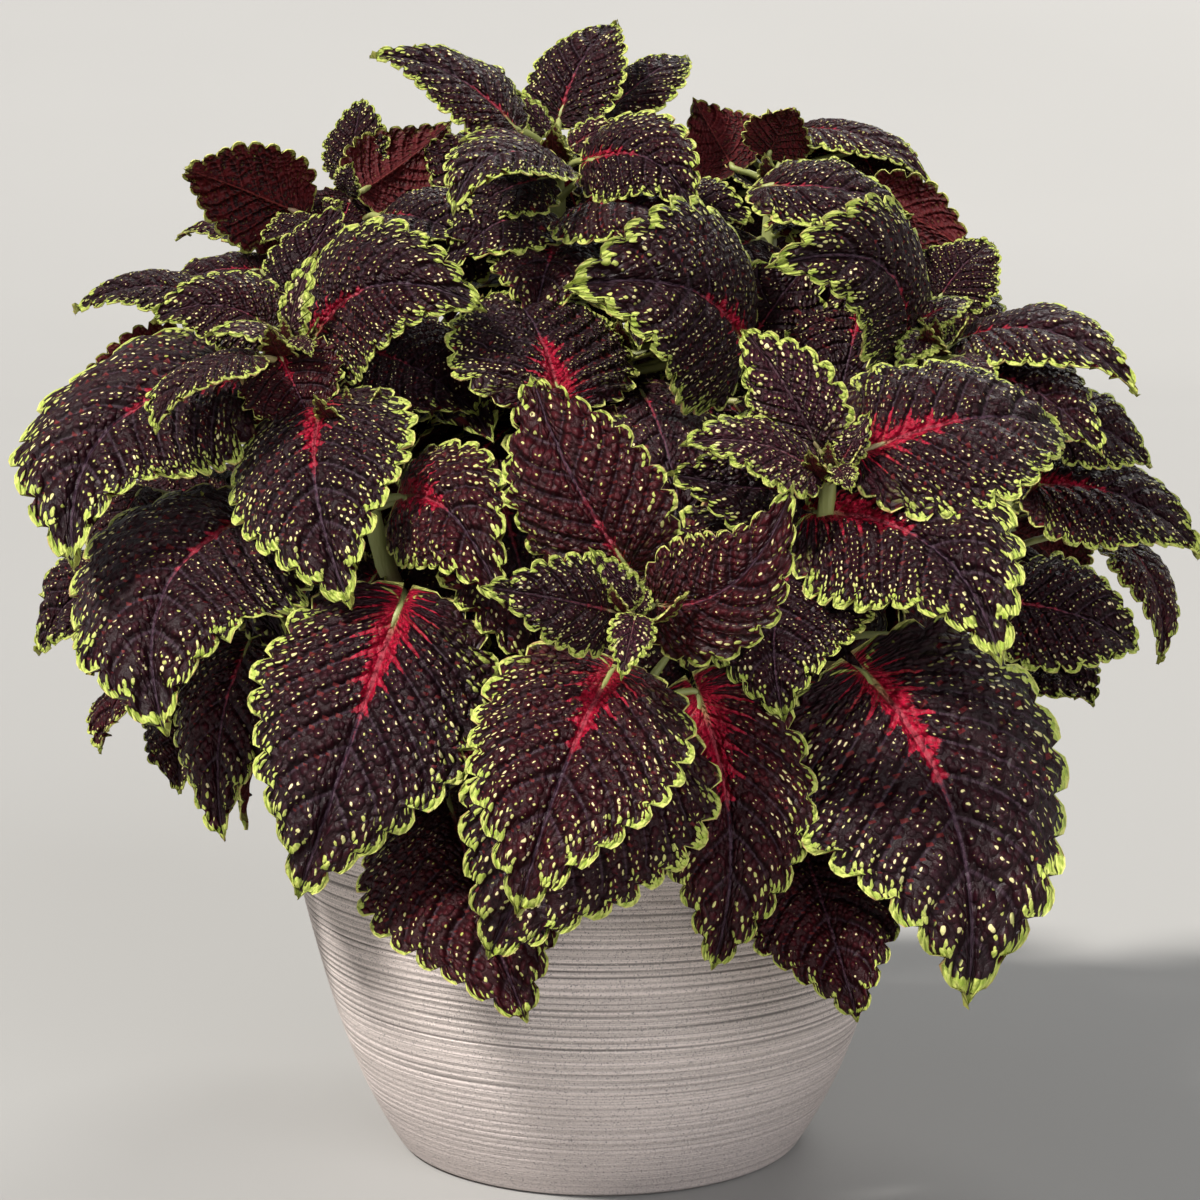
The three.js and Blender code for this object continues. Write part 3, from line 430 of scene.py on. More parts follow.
def toothed_rows(width, length, teeth, rows_a_tooth, seed):
    """Rows at even distances along the margin, so that each notch is on a row: the place, half width
    and slant of each, the tooth it is on, and how far that tooth's edge is cut in."""
    rows = int((teeth + 0.5) * rows_a_tooth) + 1
    fine = np.linspace(0.002, 0.998, 500)
    steps = np.hypot(np.diff(smooth_outline(fine)) * width / 2, np.diff(fine) * length)
    reach = np.concatenate([[0], np.cumsum(steps)])
    row_s = np.interp(np.linspace(0, reach[-1], rows), reach, fine)
    half = smooth_outline(row_s) * width / 2
    slant = np.gradient(smooth_outline(fine) * width / 2, fine * length)
    slant = np.clip(np.interp(row_s, fine, slant), -20, 20)

    # rounded teeth, with sharp notches, that lean towards the tip
    tooth = np.arange(rows) / rows_a_tooth
    phase = (tooth % 1) ** TOOTH_LEAN
    crest = np.sqrt(np.maximum(1 - (2 * phase - 1) ** 2, 0)) ** 0.75
    uneven = 1 + TOOTH_UNEVEN * np.sin(np.floor(tooth) * 2.4 + seed * 5.1)
    depth = TOOTH_DEPTH * reach[-1] / teeth * uneven
    inward = depth * (TOOTH_CREST - crest)
    last = tooth >= teeth
    inward[last] = (depth * TOOTH_CREST)[last] * (1 - (tooth[last] - teeth) * 2) ** 1.5
    inward *= np.clip((tooth - 0.6) / 1.6, 0, 1)
    return row_s, half, slant, tooth, np.minimum(inward, half * 0.5)


def blade_normals(middle, out):
    normals = unit(np.cross(np.gradient(middle, axis=1), np.gradient(middle, axis=0)))
    return -normals if np.sum(normals * out) < 0 else normals


def blade_lift(s, t, offset, width, length, numbers, run, tooth, seed):
    """Relief: puffed between the side veins, quilted, ruffled at the margin, sunk along the midrib."""
    size = min(1, width / FULL_RELIEF_WIDTH)
    quilt = np.abs(np.sin(np.pi * numbers)) ** 0.6 * np.minimum(1, offset / 6) * (1 - 0.35 * np.abs(t) ** 3)
    cell = soft_noise(numbers * 2 + seed, run / (0.04 * length) + np.sign(t) * 20, seed)
    ruffle = soft_noise(s * 6 + seed * 3, np.sign(t) * 3 + seed, seed + 1) * np.abs(t) ** 2.5
    flutter = soft_noise(tooth[:, None] * 0.8 + seed, np.sign(t) * 5 + seed, seed + 2) * np.abs(t) ** 6
    lift = size * (QUILT_HEIGHT * quilt + BLISTER_HEIGHT * cell) + RUFFLE * width * ruffle
    lift += FLUTTER * width * flutter
    dip = -MIDRIB_DIP * size * np.exp(-(offset / 1.5) ** 2)
    keel = KEEL_DEPTH * size * np.exp(-(offset / 1.2) ** 2) * (1 - s) ** 0.7
    return lift + dip, keel


def blade_faces(rows, columns):
    """The quads of a blade's upper side, under side and rim, and their material places."""
    count = rows * columns
    grid = np.arange(count).reshape(rows, columns)
    upper = np.stack([grid[:-1, :-1], grid[:-1, 1:], grid[1:, 1:], grid[1:, :-1]], -1).reshape(-1, 4)
    loop = np.concatenate([grid[0, :-1], grid[:-1, -1], grid[-1, :0:-1], grid[:0:-1, 0]])
    after = np.roll(loop, -1)
    rim = np.stack([after, loop, loop + count, after + count], -1)
    quads = np.concatenate([upper, upper[:, ::-1] + count, rim])
    sides = np.full(len(quads), UPPER)
    sides[len(upper):2 * len(upper)] = UNDER
    return quads, sides, len(upper)


def blade(leaf, seed, detail):
    """The blade's vertices, quads, material places and the values its material reads."""
    base, tip, width, faces, _, _, look = leaf
    length, _, out, _ = blade_frame(base, tip, faces)
    teeth, rows_a_tooth, columns = for_width(detail, width)
    row_s, half, slant, tooth, inward = toothed_rows(width, length, teeth, rows_a_tooth, seed)
    outward = 1 / np.sqrt(1 + slant ** 2)
    rows = len(row_s)

    spread = np.linspace(-1, 1, columns)
    spread = np.sign(spread) * np.abs(spread) ** 0.95
    t = np.repeat(spread[None, :], rows, 0)
    s = np.repeat(row_s[:, None], columns, 1)
    pull = np.abs(t) ** 5
    wide = np.maximum(half[:, None] - (inward * outward)[:, None] * pull, 0.15)
    shift = (inward * slant * outward)[:, None] * pull / length
    middle = blade_points(leaf, np.clip(s + shift, -0.02, 1), t, wide)

    notches = np.interp(np.arange(teeth + 1) * rows_a_tooth, np.arange(rows), row_s)
    numbers = vein_numbers(s, t, np.append(notches, PAST_TIP))
    offset = np.abs(t) * wide
    run = 0.72 * offset + 0.7 * s * length
    lift, keel = blade_lift(s, t, offset, width, length, numbers, run, tooth, seed)
    normals = blade_normals(middle, out)
    calm = np.clip(row_s / 0.06, 0, 1)[:, None]
    middle = middle + normals * (lift * calm)[..., None]
    upper = middle + normals * SKIN
    lower = middle - normals * (SKIN + keel)[..., None]
    verts = np.concatenate([upper.reshape(-1, 3), lower.reshape(-1, 3)])
    quads, sides, upper_faces = blade_faces(rows, columns)
    corner, right, _, left = verts[quads[upper_faces // 2]]
    if np.cross(right - corner, left - corner).dot(normals[rows // 2, columns // 2]) < 0:
        quads = quads[:, ::-1]

    # distance to the toothed margin, measured over the blade
    edges = np.stack([half - inward * outward, row_s * length + inward * slant * outward], -1)
    flat = np.stack([offset, (s + shift) * length], -1)
    margin = np.linalg.norm(flat[:, :, None] - edges[None, None], axis=-1).min(-1)
    margin[:, [0, -1]] = 0
    rows_a_gap, cell_length = for_width(CELLS, width)
    side = np.sign(t) * np.minimum(1, np.abs(t) * 5) * 2.5
    red, lime, youth, wine = look
    values = {
        "cells": (numbers * rows_a_gap, run / (cell_length * length), side + seed * 9.7),
        "blade": (s, margin, offset),
        "ribs": (numbers, VEIN_SPACING * length / teeth, tooth[:, None]),
        "look": (red, lime, youth),
        "tint": (wine, length / LOOK_LENGTH, 0),
    }
    for name, value in values.items():
        value = np.stack([np.broadcast_to(number, s.shape) for number in value], -1)
        values[name] = np.tile(value.reshape(-1, 3), (2, 1))
    return verts, quads, sides, values


# ---- meshes ----
def ring_quads(grid):
    """The quads between rings of vertices."""
    after = np.roll(grid, -1, axis=1)
    return np.stack([grid[:-1], grid[1:], after[1:], after[:-1]], -1).reshape(-1, 4)


def tube(path, radii, sides, corners=0.0):
    """A closed tube along the path. corners over 0 makes its section square with rounded corners."""
    run = unit(np.gradient(path, axis=0))
    side = unit(np.cross(run, [0.0, 0.0, 1.0]) + np.array([1e-6, 0, 0]))
    across = np.cross(side, run)
    angles = np.arange(sides) * 2 * np.pi / sides
    swell = 1 + corners * np.cos(4 * angles)
    ring = np.stack([np.cos(angles) * swell, np.sin(angles) * swell], 1)
    verts = (
        path[:, None] + side[:, None] * (ring[None, :, :1] * radii[:, None, None])
        + across[:, None] * (ring[None, :, 1:] * radii[:, None, None])
    ).reshape(-1, 3)
    grid = np.arange(len(path) * sides).reshape(len(path), sides)
    caps = []
    for ends, turn in ((grid[0], 1), (grid[-1], -1)):
        caps.append(np.stack([ends, np.roll(ends, -1), np.full(sides, len(verts))], -1)[:, ::turn])
        verts = np.vstack([verts, verts[ends].mean(0)])
    return verts, ring_quads(grid), np.vstack(caps)


def lathe(outline, sides, push):
    """A closed turned body from an outline that starts and ends on the axis. push moves the points."""
    outline = np.array(outline, float)
    rings = outline[1:-1]
    angles = np.arange(sides) * 2 * np.pi / sides
    radii = np.repeat(rings[:, :1], sides, 1)
    heights = np.repeat(rings[:, 1:], sides, 1)
    radii, heights = push(radii, heights, np.repeat(angles[None], len(rings), 0))
    verts = np.stack([radii * np.cos(angles), radii * np.sin(angles), heights], -1).reshape(-1, 3)
    grid = np.arange(len(verts)).reshape(len(rings), sides)
    poles = [[0, 0, outline[0, 1]], [0, 0, outline[-1, 1]]]
    first, last = np.full(sides, len(verts)), np.full(sides, len(verts) + 1)
    low = np.stack([grid[0], first, np.roll(grid[0], -1)], -1)
    high = np.stack([grid[-1], np.roll(grid[-1], -1), last], -1)
    return np.vstack([verts, poles]), ring_quads(grid)[:, [0, 3, 2, 1]], np.vstack([low, high])


def add_object(name, data):
    thing = bpy.data.objects.new(name, data)
    bpy.context.scene.collection.objects.link(thing)
    return thing


class Skin:
    """Collects closed shells, then makes one Blender mesh of them."""

    def __init__(self):
        self.verts, self.quads, self.tris, self.values, self.count = [], [], [], [], 0

    def add(self, verts, quads, looks, tris=None, values=None):
        looks = np.broadcast_to(looks, len(quads)).tolist()
        self.verts.append(verts)
        self.quads += zip((quads + self.count).tolist(), looks)
        if tris is not None:
            self.tris += [(face, looks[0]) for face in (tris + self.count).tolist()]
        self.values.append((self.count, values or {}))
        self.count += len(verts)

    def make(self, name, materials, turn=0.0, sharp=50):
        verts = turned(np.concatenate(self.verts) * MILLIMETRE, turn)
        faces, looks = zip(*self.quads, *self.tris)
        mesh = bpy.data.meshes.new(name)
        mesh.from_pydata(verts, [], faces)
        mesh.polygons.foreach_set("material_index", looks)
        for key in sorted({key for _, values in self.values for key in values}):
            data = np.zeros((len(verts), 3))
            for first, values in self.values:
                if key in values:
                    data[first:first + len(values[key])] = values[key]
            mesh.attributes.new(key, "FLOAT_VECTOR", "POINT").data.foreach_set("vector", data.ravel())
        mesh.validate()
        mesh.shade_smooth()
        mesh.set_sharp_from_angle(angle=math.radians(sharp))
        for material in materials:
            mesh.materials.append(material)
        return add_object(name, mesh)


# ---- node helpers ----
class Value:
    """A number in a material, which a formula can use."""

    def __init__(self, look, socket):
        self.look, self.socket = look, socket

    def __add__(self, other):
        return self.look.math("ADD", self, other)

    def __sub__(self, other):
        return self.look.math("SUBTRACT", self, other)

    def __mul__(self, other):
        return self.look.math("MULTIPLY", self, other)

    def __truediv__(self, other):
        return self.look.math("DIVIDE", self, other)


class Looks:
    """Builds one procedural material, node by node."""

    def __init__(self, name):
        self.material = bpy.data.materials.new(name)
        self.material.use_nodes = True
        self.nodes = self.material.node_tree.nodes
        self.links = self.material.node_tree.links
        self.place = self.node("ShaderNodeTexCoord").outputs["Object"]

    def node(self, kind, inputs=None, **settings):
        node = self.nodes.new(kind)
        for key, value in settings.items():
            setattr(node, key, value)
        for key, value in (inputs or {}).items():
            self.put(node.inputs[key], value)
        return node

    def put(self, socket, value):
        value = getattr(value, "socket", value)
        if isinstance(value, bpy.types.NodeSocket):
            self.links.new(value, socket)
        elif socket.type == "RGBA":
            socket.default_value = (*value, 1)
        else:
            socket.default_value = value

    def math(self, operation, *values, clamp=False):
        node = self.node("ShaderNodeMath", dict(enumerate(values)), operation=operation, use_clamp=clamp)
        return Value(self, node.outputs[0])

    def vector_math(self, operation, *values):
        return self.node("ShaderNodeVectorMath", dict(enumerate(values)), operation=operation).outputs

    def between(self, value, low, high, to_low=0.0, to_high=1.0):
        """A soft step of value from low to high."""
        inputs = {"Value": value, "From Min": low, "From Max": high, "To Min": to_low, "To Max": to_high}
        node = self.node("ShaderNodeMapRange", inputs, interpolation_type="SMOOTHSTEP")
        return Value(self, node.outputs[0])

    def mix(self, share, first, second):
        """The colour that is share of the way from first to second."""
        return self.node("ShaderNodeMix", {0: share, 6: first, 7: second}, data_type="RGBA").outputs[2]

    def coats(self, colour, *coats):
        """The colour under coats, each a (share, colour)."""
        for share, coat in coats:
            colour = self.mix(share, colour, coat)
        return colour

    def vector(self, name):
        """The vector that the mesh keeps under this name."""
        return self.node("ShaderNodeAttribute", attribute_name=name).outputs["Vector"]

    def values(self, name):
        """The three numbers that the mesh keeps under this name."""
        parts = self.node("ShaderNodeSeparateXYZ", {"Vector": self.vector(name)}).outputs
        return [Value(self, part) for part in parts]

    def noise(self, vector, scale, detail=2.0, roughness=0.5, output="Fac"):
        inputs = {"Vector": vector, "Scale": scale, "Detail": detail, "Roughness": roughness}
        return Value(self, self.node("ShaderNodeTexNoise", inputs).outputs[output])

    def spots(self, vector, scale, randomness=1.0):
        """The nearest of scattered spots: how far it is, its three chances and its place."""
        inputs = {"Vector": vector, "Scale": scale, "Randomness": randomness}
        spot = self.node("ShaderNodeTexVoronoi", inputs).outputs
        chances = self.node("ShaderNodeSeparateColor", {"Color": spot["Color"]}).outputs
        return Value(self, spot["Distance"]), [Value(self, chance) for chance in chances], spot["Position"]

    def scaled(self, vector, factors):
        return self.node("ShaderNodeMapping", {"Vector": vector, "Scale": factors}).outputs[0]

    def finish(self, colour, roughness, height=None, depth=0.0, specular=0.5):
        """Sets the shader. height is relief, of which 1 is depth metres."""
        inputs = self.nodes["Principled BSDF"].inputs
        self.put(inputs["Base Color"], colour)
        self.put(inputs["Roughness"], roughness)
        self.put(inputs["Specular IOR Level"], specular)
        if height is not None:
            relief = self.node("ShaderNodeBump", {"Height": height, "Distance": depth, "Strength": 1.0})
            self.put(inputs["Normal"], relief.outputs[0])
        return self.material


# ---- leaf materials: distances in millimetres, as on a blade of LOOK_LENGTH ----
LEAF_SPECULAR = 0.22
UPPER_RELIEF, UNDER_RELIEF = 0.001, -0.0006
SPECK_STRETCH = (1.9, 0.9, 0.3)
NIGHT = (0.007, 0.001, 0.0022), (0.034, 0.004, 0.0105)
BURGUNDY = (0.024, 0.0014, 0.003), (0.08, 0.0045, 0.0095)
YOUNG_PURPLE = (0.085, 0.02, 0.038)
# painted shade: near black laid into the low places of the relief, the hollows between the blisters and the
# furrows along the veins
PAINTED_HOLLOW_SHADE, PAINTED_FURROW_SHADE = (0.0045, 0.0006, 0.0012), (0.005, 0.001, 0.002)
CRIMSON = (0.17, 0.001, 0.009), (0.45, 0.004, 0.034)
LIME = (0.27, 0.37, 0.04), (0.6, 0.64, 0.16)
SPECK = (0.4, 0.44, 0.08), (0.88, 0.76, 0.42)
VEIN, CRIMSON_VEIN = (0.085, 0.045, 0.07), (0.32, 0.05, 0.07)
GREEN_VEIN, YOUNG_VEIN = (0.34, 0.36, 0.13), (0.2, 0.1, 0.1)
EDGE = (0.68, 0.66, 0.2), (0.5, 0.24, 0.14)
UNDER_RED = (0.012, 0.0012, 0.002), (0.07, 0.0022, 0.0045)
UNDER_HOLLOW, UNDER_VEIN = (0.08, 0.004, 0.006), (0.22, 0.035, 0.03)
UNDER_SPECK, UNDER_RIM = (0.2, 0.15, 0.025), (0.32, 0.34, 0.07)


class LeafLooks(Looks):
    """What the upper and the under side of a leaf share."""

    def __init__(self, name):
        super().__init__(name)
        self.along, margin, offset = self.values("blade")
        self.number, gap, tooth = self.values("ribs")
        self.red, self.lime, self.youth = self.values("look")
        self.wine, scale, _ = self.values("tint")
        self.cells = self.vector("cells")
        self.margin, self.offset = margin / scale, offset / scale
        self.away = self.math("ABSOLUTE", self.number - self.math("ROUND", self.number)) * (gap / scale)
        self.swell = self.math("SINE", self.math("FRACT", tooth) * math.pi)
        self.fine = self.noise(self.cells, 1.9, 3.0, 0.6)
        self.warp = self.noise(self.cells, 0.6)
        self.broad = self.noise(self.place, 28.0)
        self.dome, self.chances, self.from_speck = self.blisters()
        self.vein, self.rim, self.speck = self.veins(), self.lime_rim(), self.specks()
        beside = self.math("MINIMUM", self.away, self.offset * 0.8)
        self.furrow = self.between(beside, 0.0, 2.0, 1.0, 0.0) * self.between(self.margin, 0.5, 5.0)

    def blisters(self):
        """Domes between the side veins, their chances, and the distance from the speck on each."""
        wobble = self.noise(self.cells, 1.3, 1.0, output="Color")
        warped = self.vector_math("MULTIPLY_ADD", wobble, (0.35, 0.5, 0.0), self.cells)[0]
        distance, chances, middle = self.spots(warped, 1.0, 0.75)
        dome = self.math("MULTIPLY_ADD", distance * distance, -2.2, 1.0, clamp=True)
        drawn_out = self.scaled(self.vector_math("SUBTRACT", warped, middle)[0], SPECK_STRETCH)
        return dome, chances, self.vector_math("LENGTH", drawn_out)["Value"]

    def veins(self):
        midrib = self.between(self.offset - (self.along * -0.65 + 0.95), -0.35, 0.25, 1.0, 0.0)
        ribs = self.between(self.away, 0.08, 0.42, 1.0, 0.0) * self.between(self.margin, 2.0, 8.0)
        ribs *= self.between(self.number, 0.4, 0.7)
        return self.math("MAXIMUM", midrib, ribs * 0.45)

    def lime_rim(self):
        """A lime line round the margin, wider on the teeth and at the tip."""
        band = (self.swell * 1.3 + 0.45) * (self.lime * 0.6 + 0.4)
        band *= self.youth * self.youth * 2.2 + 1.0
        band *= self.between(self.along, 0.86, 0.98, 1.0, 2.0)
        band *= self.between(self.along, 0.03, 0.24, 0.3, 1.0)
        fingers = (self.noise(self.cells, 1.15, 1.0, 0.4) - 0.47) * (self.youth * 5.0 + 4.5)
        fingers *= self.between(self.margin, 0.4, 1.8)
        return self.between(band - (self.margin + fingers), -0.12, 0.15)

    def specks(self):
        """Specks between the veins, more and larger near the margin, and patches on the teeth."""
        near = self.between(self.margin, 1.0, 15.0, 1.0, 0.0)
        crowd = (near * 0.3 + 0.9 + self.youth * 0.4) * (self.lime * 0.8 + 0.25)
        crowd += (self.warp - 0.5) * 1.3
        radius = (self.chances[1] * 0.17 + 0.05) * (near + 1.0) * (self.youth * 0.7 + 1.0)
        radius += self.between(self.margin, 1.0, 4.5, 0.3, 0.0) * (self.swell * self.lime)
        radius += (self.fine - 0.5) * 0.26
        speck = self.between(radius - self.from_speck, -0.03, 0.04)
        speck *= self.between(crowd - self.chances[0], 0.0, 0.05)
        speck *= self.between(self.offset, 1.2, 2.2) * self.between(self.away, 0.3, 0.9)
        return speck * self.between(self.along, 0.06, 0.18)

    def crimson(self):
        """Crimson feathers from the base along the midrib and the first side veins."""
        feather = self.noise(self.scaled(self.cells, (1.5, 0.6, 1.0)), 1.0, 3.0, 0.65)
        core = (self.along * -2.35 + 1.0) * 7.5
        rays = (self.along * -2.3 + 1.0) * 19.0 * self.between(self.away, 0.15, 1.3, 1.0, 0.1)
        reach = self.math("MAXIMUM", core, rays) * self.red * self.between(self.along, -0.02, 0.1, 0.45, 1.0)
        reach += (feather - 0.5) * (self.red * self.between(self.along, 0.26, 0.42, 13.0, 3.0))
        return self.between(reach - self.offset, -0.5, 1.0) * self.between(self.red, 0.02, 0.12)

    def finish_leaf(self, colour, roughness, depth):
        """Sets the shader, with relief: blisters, furrows along the side veins and a fine grain."""
        height = self.dome * 1.7 + self.furrow * -2.2 + self.fine * 0.6
        height += self.noise(self.cells, 7.0, 2.0, 0.6) * 0.3
        height += self.vein * 0.25
        return self.finish(colour, self.fine * 0.2 + roughness, height, depth, LEAF_SPECULAR)


def leaf_upper():
    leaf = LeafLooks("leaf_upper")
    mottled = leaf.between(leaf.fine, 0.3, 0.7)
    glow = leaf.math("ADD", leaf.wine, (leaf.broad - 0.45) * 1.1, clamp=True)
    dark = leaf.coats(
        leaf.mix(glow, leaf.mix(leaf.fine, *NIGHT), leaf.mix(leaf.fine, *BURGUNDY)),
        (leaf.youth * 0.75, YOUNG_PURPLE),
        # painted shade in the hollows between the blisters
        (leaf.between(leaf.dome, 0.1, 0.8, 0.6, 0.0), PAINTED_HOLLOW_SHADE),
        # painted shade along the sunk veins, in the furrows of the relief
        (leaf.furrow * 0.6, PAINTED_FURROW_SHADE),
    )
    lime = leaf.mix(mottled, *LIME)
    crimson = leaf.crimson()
    vein = leaf.coats(
        leaf.mix(crimson, VEIN, CRIMSON_VEIN),
        (leaf.between(leaf.along, 0.02, 0.13, 1.0, 0.0), GREEN_VEIN),
        (leaf.youth * 0.8, YOUNG_VEIN),
    )
    edge = leaf.between(leaf.fine * 0.5 + leaf.margin, 0.35, 0.7, 1.0, 0.0)
    colour = leaf.coats(
        dark,
        (leaf.speck, leaf.mix(leaf.between(leaf.margin, 2.0, 7.0), lime, leaf.mix(leaf.chances[2], *SPECK))),
        (crimson, leaf.mix(mottled, *CRIMSON)),
        (leaf.vein * 0.7, vein),
        (leaf.rim, lime),
        (edge * 0.7, leaf.mix(leaf.between(leaf.warp, 0.5, 0.65), *EDGE)),
    )
    return leaf.finish_leaf(colour, 0.35, UPPER_RELIEF)


def leaf_under():
    leaf = LeafLooks("leaf_under")
    dark = leaf.mix(leaf.between(leaf.broad, 0.35, 0.65), *UNDER_RED)
    dark = leaf.mix(leaf.between(leaf.dome, 0.2, 0.8), UNDER_HOLLOW, dark)
    coats = (leaf.vein * 0.6, UNDER_VEIN), (leaf.speck * 0.3, UNDER_SPECK), (leaf.rim * 0.8, UNDER_RIM)
    return leaf.finish_leaf(leaf.coats(dark, *coats), 0.5, UNDER_RELIEF)


# ---- the other materials ----
def stem_material():
    look = Looks("green_stem")
    broad = look.noise(look.place, 22.0)
    streak = look.noise(look.scaled(look.place, (900.0, 900.0, 40.0)), 1.0)
    green = look.mix(broad, (0.15, 0.18, 0.035), (0.36, 0.37, 0.11))
    tint = look.between(broad, 0.58, 0.72)
    colour = look.coats(green, (tint, (0.3, 0.15, 0.11)), (streak * 0.35, (0.4, 0.44, 0.2)))
    return look.finish(colour, streak * 0.2 + 0.38, streak, 0.0003)


def pot_material():
    look = Looks("turned_stoneware")
    depth, height, _ = look.values("groove")
    slow = look.noise(look.scaled(look.place, (9.0, 9.0, 30.0)), 1.0, 3.0)
    line = look.noise(look.scaled(look.place, (2.5, 2.5, 1300.0)), 1.0, 2.0, 0.6)
    sand = look.noise(look.place, 1500.0, 2.0, 0.7)
    grain = look.noise(look.scaled(look.place, (420.0, 420.0, 900.0)), 1.0, 3.0, 0.6)
    clay = look.coats(
        look.mix(slow, (0.63, 0.55, 0.52), (0.83, 0.73, 0.69)),
        (look.between(line, 0.62, 0.4), (0.5, 0.44, 0.41)),  # turning lines
        (look.between(height, 10.0, 75.0, 0.5, 0.0), (0.4, 0.35, 0.34)),  # painted shade: darker low on the wall, where less light reaches
        (look.between(grain, 0.52, 0.75, 0.0, 0.45), (0.3, 0.28, 0.265)),
        (look.between(depth, 0.08, 0.8, 0.0, 0.95), (0.15, 0.135, 0.125)),  # the grooves
        (look.between(sand, 0.57, 0.67, 0.0, 0.85), (0.13, 0.125, 0.13)),  # dark sand
        (look.between(sand, 0.3, 0.4, 0.6, 0.0), (0.82, 0.76, 0.68)),  # pale sand
    )
    relief = line * 0.5 + grain * 0.5 + sand * 0.3
    return look.finish(clay, grain * 0.2 + 0.7, relief, 0.0006, 0.25)


def soil_material():
    look = Looks("potting_mix")
    distance, chances, _ = look.spots(look.place, 320.0)
    fine = look.noise(look.place, 700.0, 4.0, 0.7)
    colour = look.coats(
        look.mix(fine, (0.006, 0.0045, 0.0035), (0.045, 0.03, 0.02)),
        (look.between(chances[0], 0.965, 0.975), (0.42, 0.4, 0.36)),  # pale grains
        (look.between(chances[0], 0.1, 0.08), (0.1, 0.055, 0.028)),  # brown ones
    )
    return look.finish(colour, 0.95, fine - distance, 0.002)


def floor_material():
    look = Looks("pale_floor")
    haze = look.noise(look.place, 0.7)
    return look.finish(look.mix(haze, (0.31, 0.306, 0.297), (0.33, 0.326, 0.316)), 0.8)


# ---- leafy stems ----
def stem_curve(foot, head):
    ground = SOIL_TOP + SOIL_CROWN * (1 - (math.hypot(*foot) / SOIL_RADIUS) ** 2)
    start = np.array([*foot, ground - HOLE_DEPTH])
    low = np.array([*foot, ground + STEM_STAND])
    top = np.array(head, float)
    outward = (top - low) * (1, 1, 0)
    early, late = (low + (top - low) * share for share in STEM_BENDS)
    early = early + outward * STEM_BULGE / 2
    late = late + outward * STEM_BULGE
    late[2] -= (top[2] - low[2]) * STEM_SAG
    return [start, low, early, late, top]


def leaf_nodes(curve):
    """The places along a stem where leaf stalks may start."""
    joints = spaced(curve, STEM_STEPS)
    shares = LOWEST_NODE + (1 - LOWEST_NODE) * np.arange(1, LEAF_NODES + 1) / LEAF_NODES
    places = shares * STEM_STEPS - NODE_INSET
    first = places.astype(int)
    return joints[first] + (joints[first + 1] - joints[first]) * (places - first)[:, None]


def stalk_start(nodes, base, order):
    reach = np.linalg.norm(nodes - base, axis=1) + np.maximum(0, nodes[:, 2] - base[2] + NODE_DROP)
    return nodes[np.argmin(reach)] + [0, 0, STALK_STAGGER[order % 4]]


def add_leaf(skin, leaf, start, seed, detail=DETAIL):
    verts, quads, sides, values = blade(leaf, seed, detail)
    skin.add(verts, quads, sides, values=values)
    base, tip, width, faces, arch, _, _ = leaf
    base = np.array(base, float)
    length, along, out, _ = blade_frame(base, tip, faces)
    thick = min(1.0, 0.45 + 0.55 * width / 45)
    middle = start + (base - start) * STALK_BEND
    middle[2] += STALK_RISE * np.linalg.norm(base - start)
    # the stalk goes on a little way under the midrib
    under = [
        base + along * length * s + out * (arch * 4 * s * (1 - s) * length - thick) for s in (0.0, 0.05, 0.1)
    ]
    path = catmull_rom([start, middle, *under], np.linspace(0, 1, STALK_STEPS))
    radii = thick * np.interp(np.linspace(0, 1, len(path)), *STALK_RADII)
    verts, quads, caps = tube(path, radii, STALK_SIDES)
    skin.add(verts, quads, GREEN, caps)


def add_stem(skin, curve):
    path = spaced(curve, STEM_PATH_STEPS)
    shares = np.linspace(0, 1, len(path))
    swell = np.exp(-((shares * STEM_JOINTS % 1 - 0.5) / JOINT_LENGTH) ** 2) * JOINT_SWELL
    verts, quads, caps = tube(path, np.interp(shares, *STEM_RADII) + swell, STEM_SIDES, STEM_CORNERS)
    skin.add(verts, quads, GREEN, caps)


def inner_leaves(count, rng):
    """Dark leaves on a smaller dome inside the outer leaves, each on the stem nearest to it."""
    inner = {name: [] for name in STEMS}
    nodes = {name: leaf_nodes(stem_curve(foot, head)) for name, (foot, head, _, _) in STEMS.items()}
    outer = np.array([
        turned((np.array(leaf[0], float) + leaf[1]) / 2, turn)
        for _, _, leaves, turn in STEMS.values() for leaf in leaves
    ]) - MIDDLE_OF_PLANT
    lowest, highest = INNER_HEIGHTS
    for k in range(count):
        height = lowest + (highest - lowest) * (k + 0.5) / count
        angle = k * GOLDEN_ANGLE
        level = math.sqrt(max(1 - height ** 2, 0.0))
        way = np.array([level * math.cos(angle), level * math.sin(angle), height])
        reach = outer @ way
        beside = reach > BESIDE * np.linalg.norm(outer, axis=1)
        if not beside.any():
            continue
        centre = MIDDLE_OF_PLANT + way * np.median(reach[beside]) * rng.uniform(*INNER_REACH)
        droop = np.array([way[0], way[1], INNER_DROOP])
        down = unit(droop - way * (way @ droop))
        twist = rng.uniform(-INNER_TWIST, INNER_TWIST)
        along = down * math.cos(twist) + np.cross(way, down) * math.sin(twist)
        length = rng.uniform(*INNER_LENGTHS)
        facing = unit(way + [0, 0, 0.35] + rng.uniform(-0.25, 0.25, 3))
        base, tip = centre - along * length / 2, centre + along * length / 2
        shade = (rng.uniform(0.1, 0.7), rng.uniform(0.35, 0.8), 0, rng.uniform(0, 0.5))
        width = length * rng.uniform(*INNER_WIDTHS)
        gaps = {
            stem: np.min(np.linalg.norm(places - turned(base, -STEMS[stem][3]), axis=1))
            for stem, places in nodes.items()
        }
        name = min(gaps, key=gaps.get)
        turn = STEMS[name][3]
        compass = math.degrees(math.atan2(facing[0], -facing[1])) - turn
        rise = math.degrees(math.asin(facing[2]))
        base, tip = turned(base, -turn), turned(tip, -turn)
        inner[name].append((base, tip, width, (compass, rise), INNER_ARCH, 0, shade))
    return inner


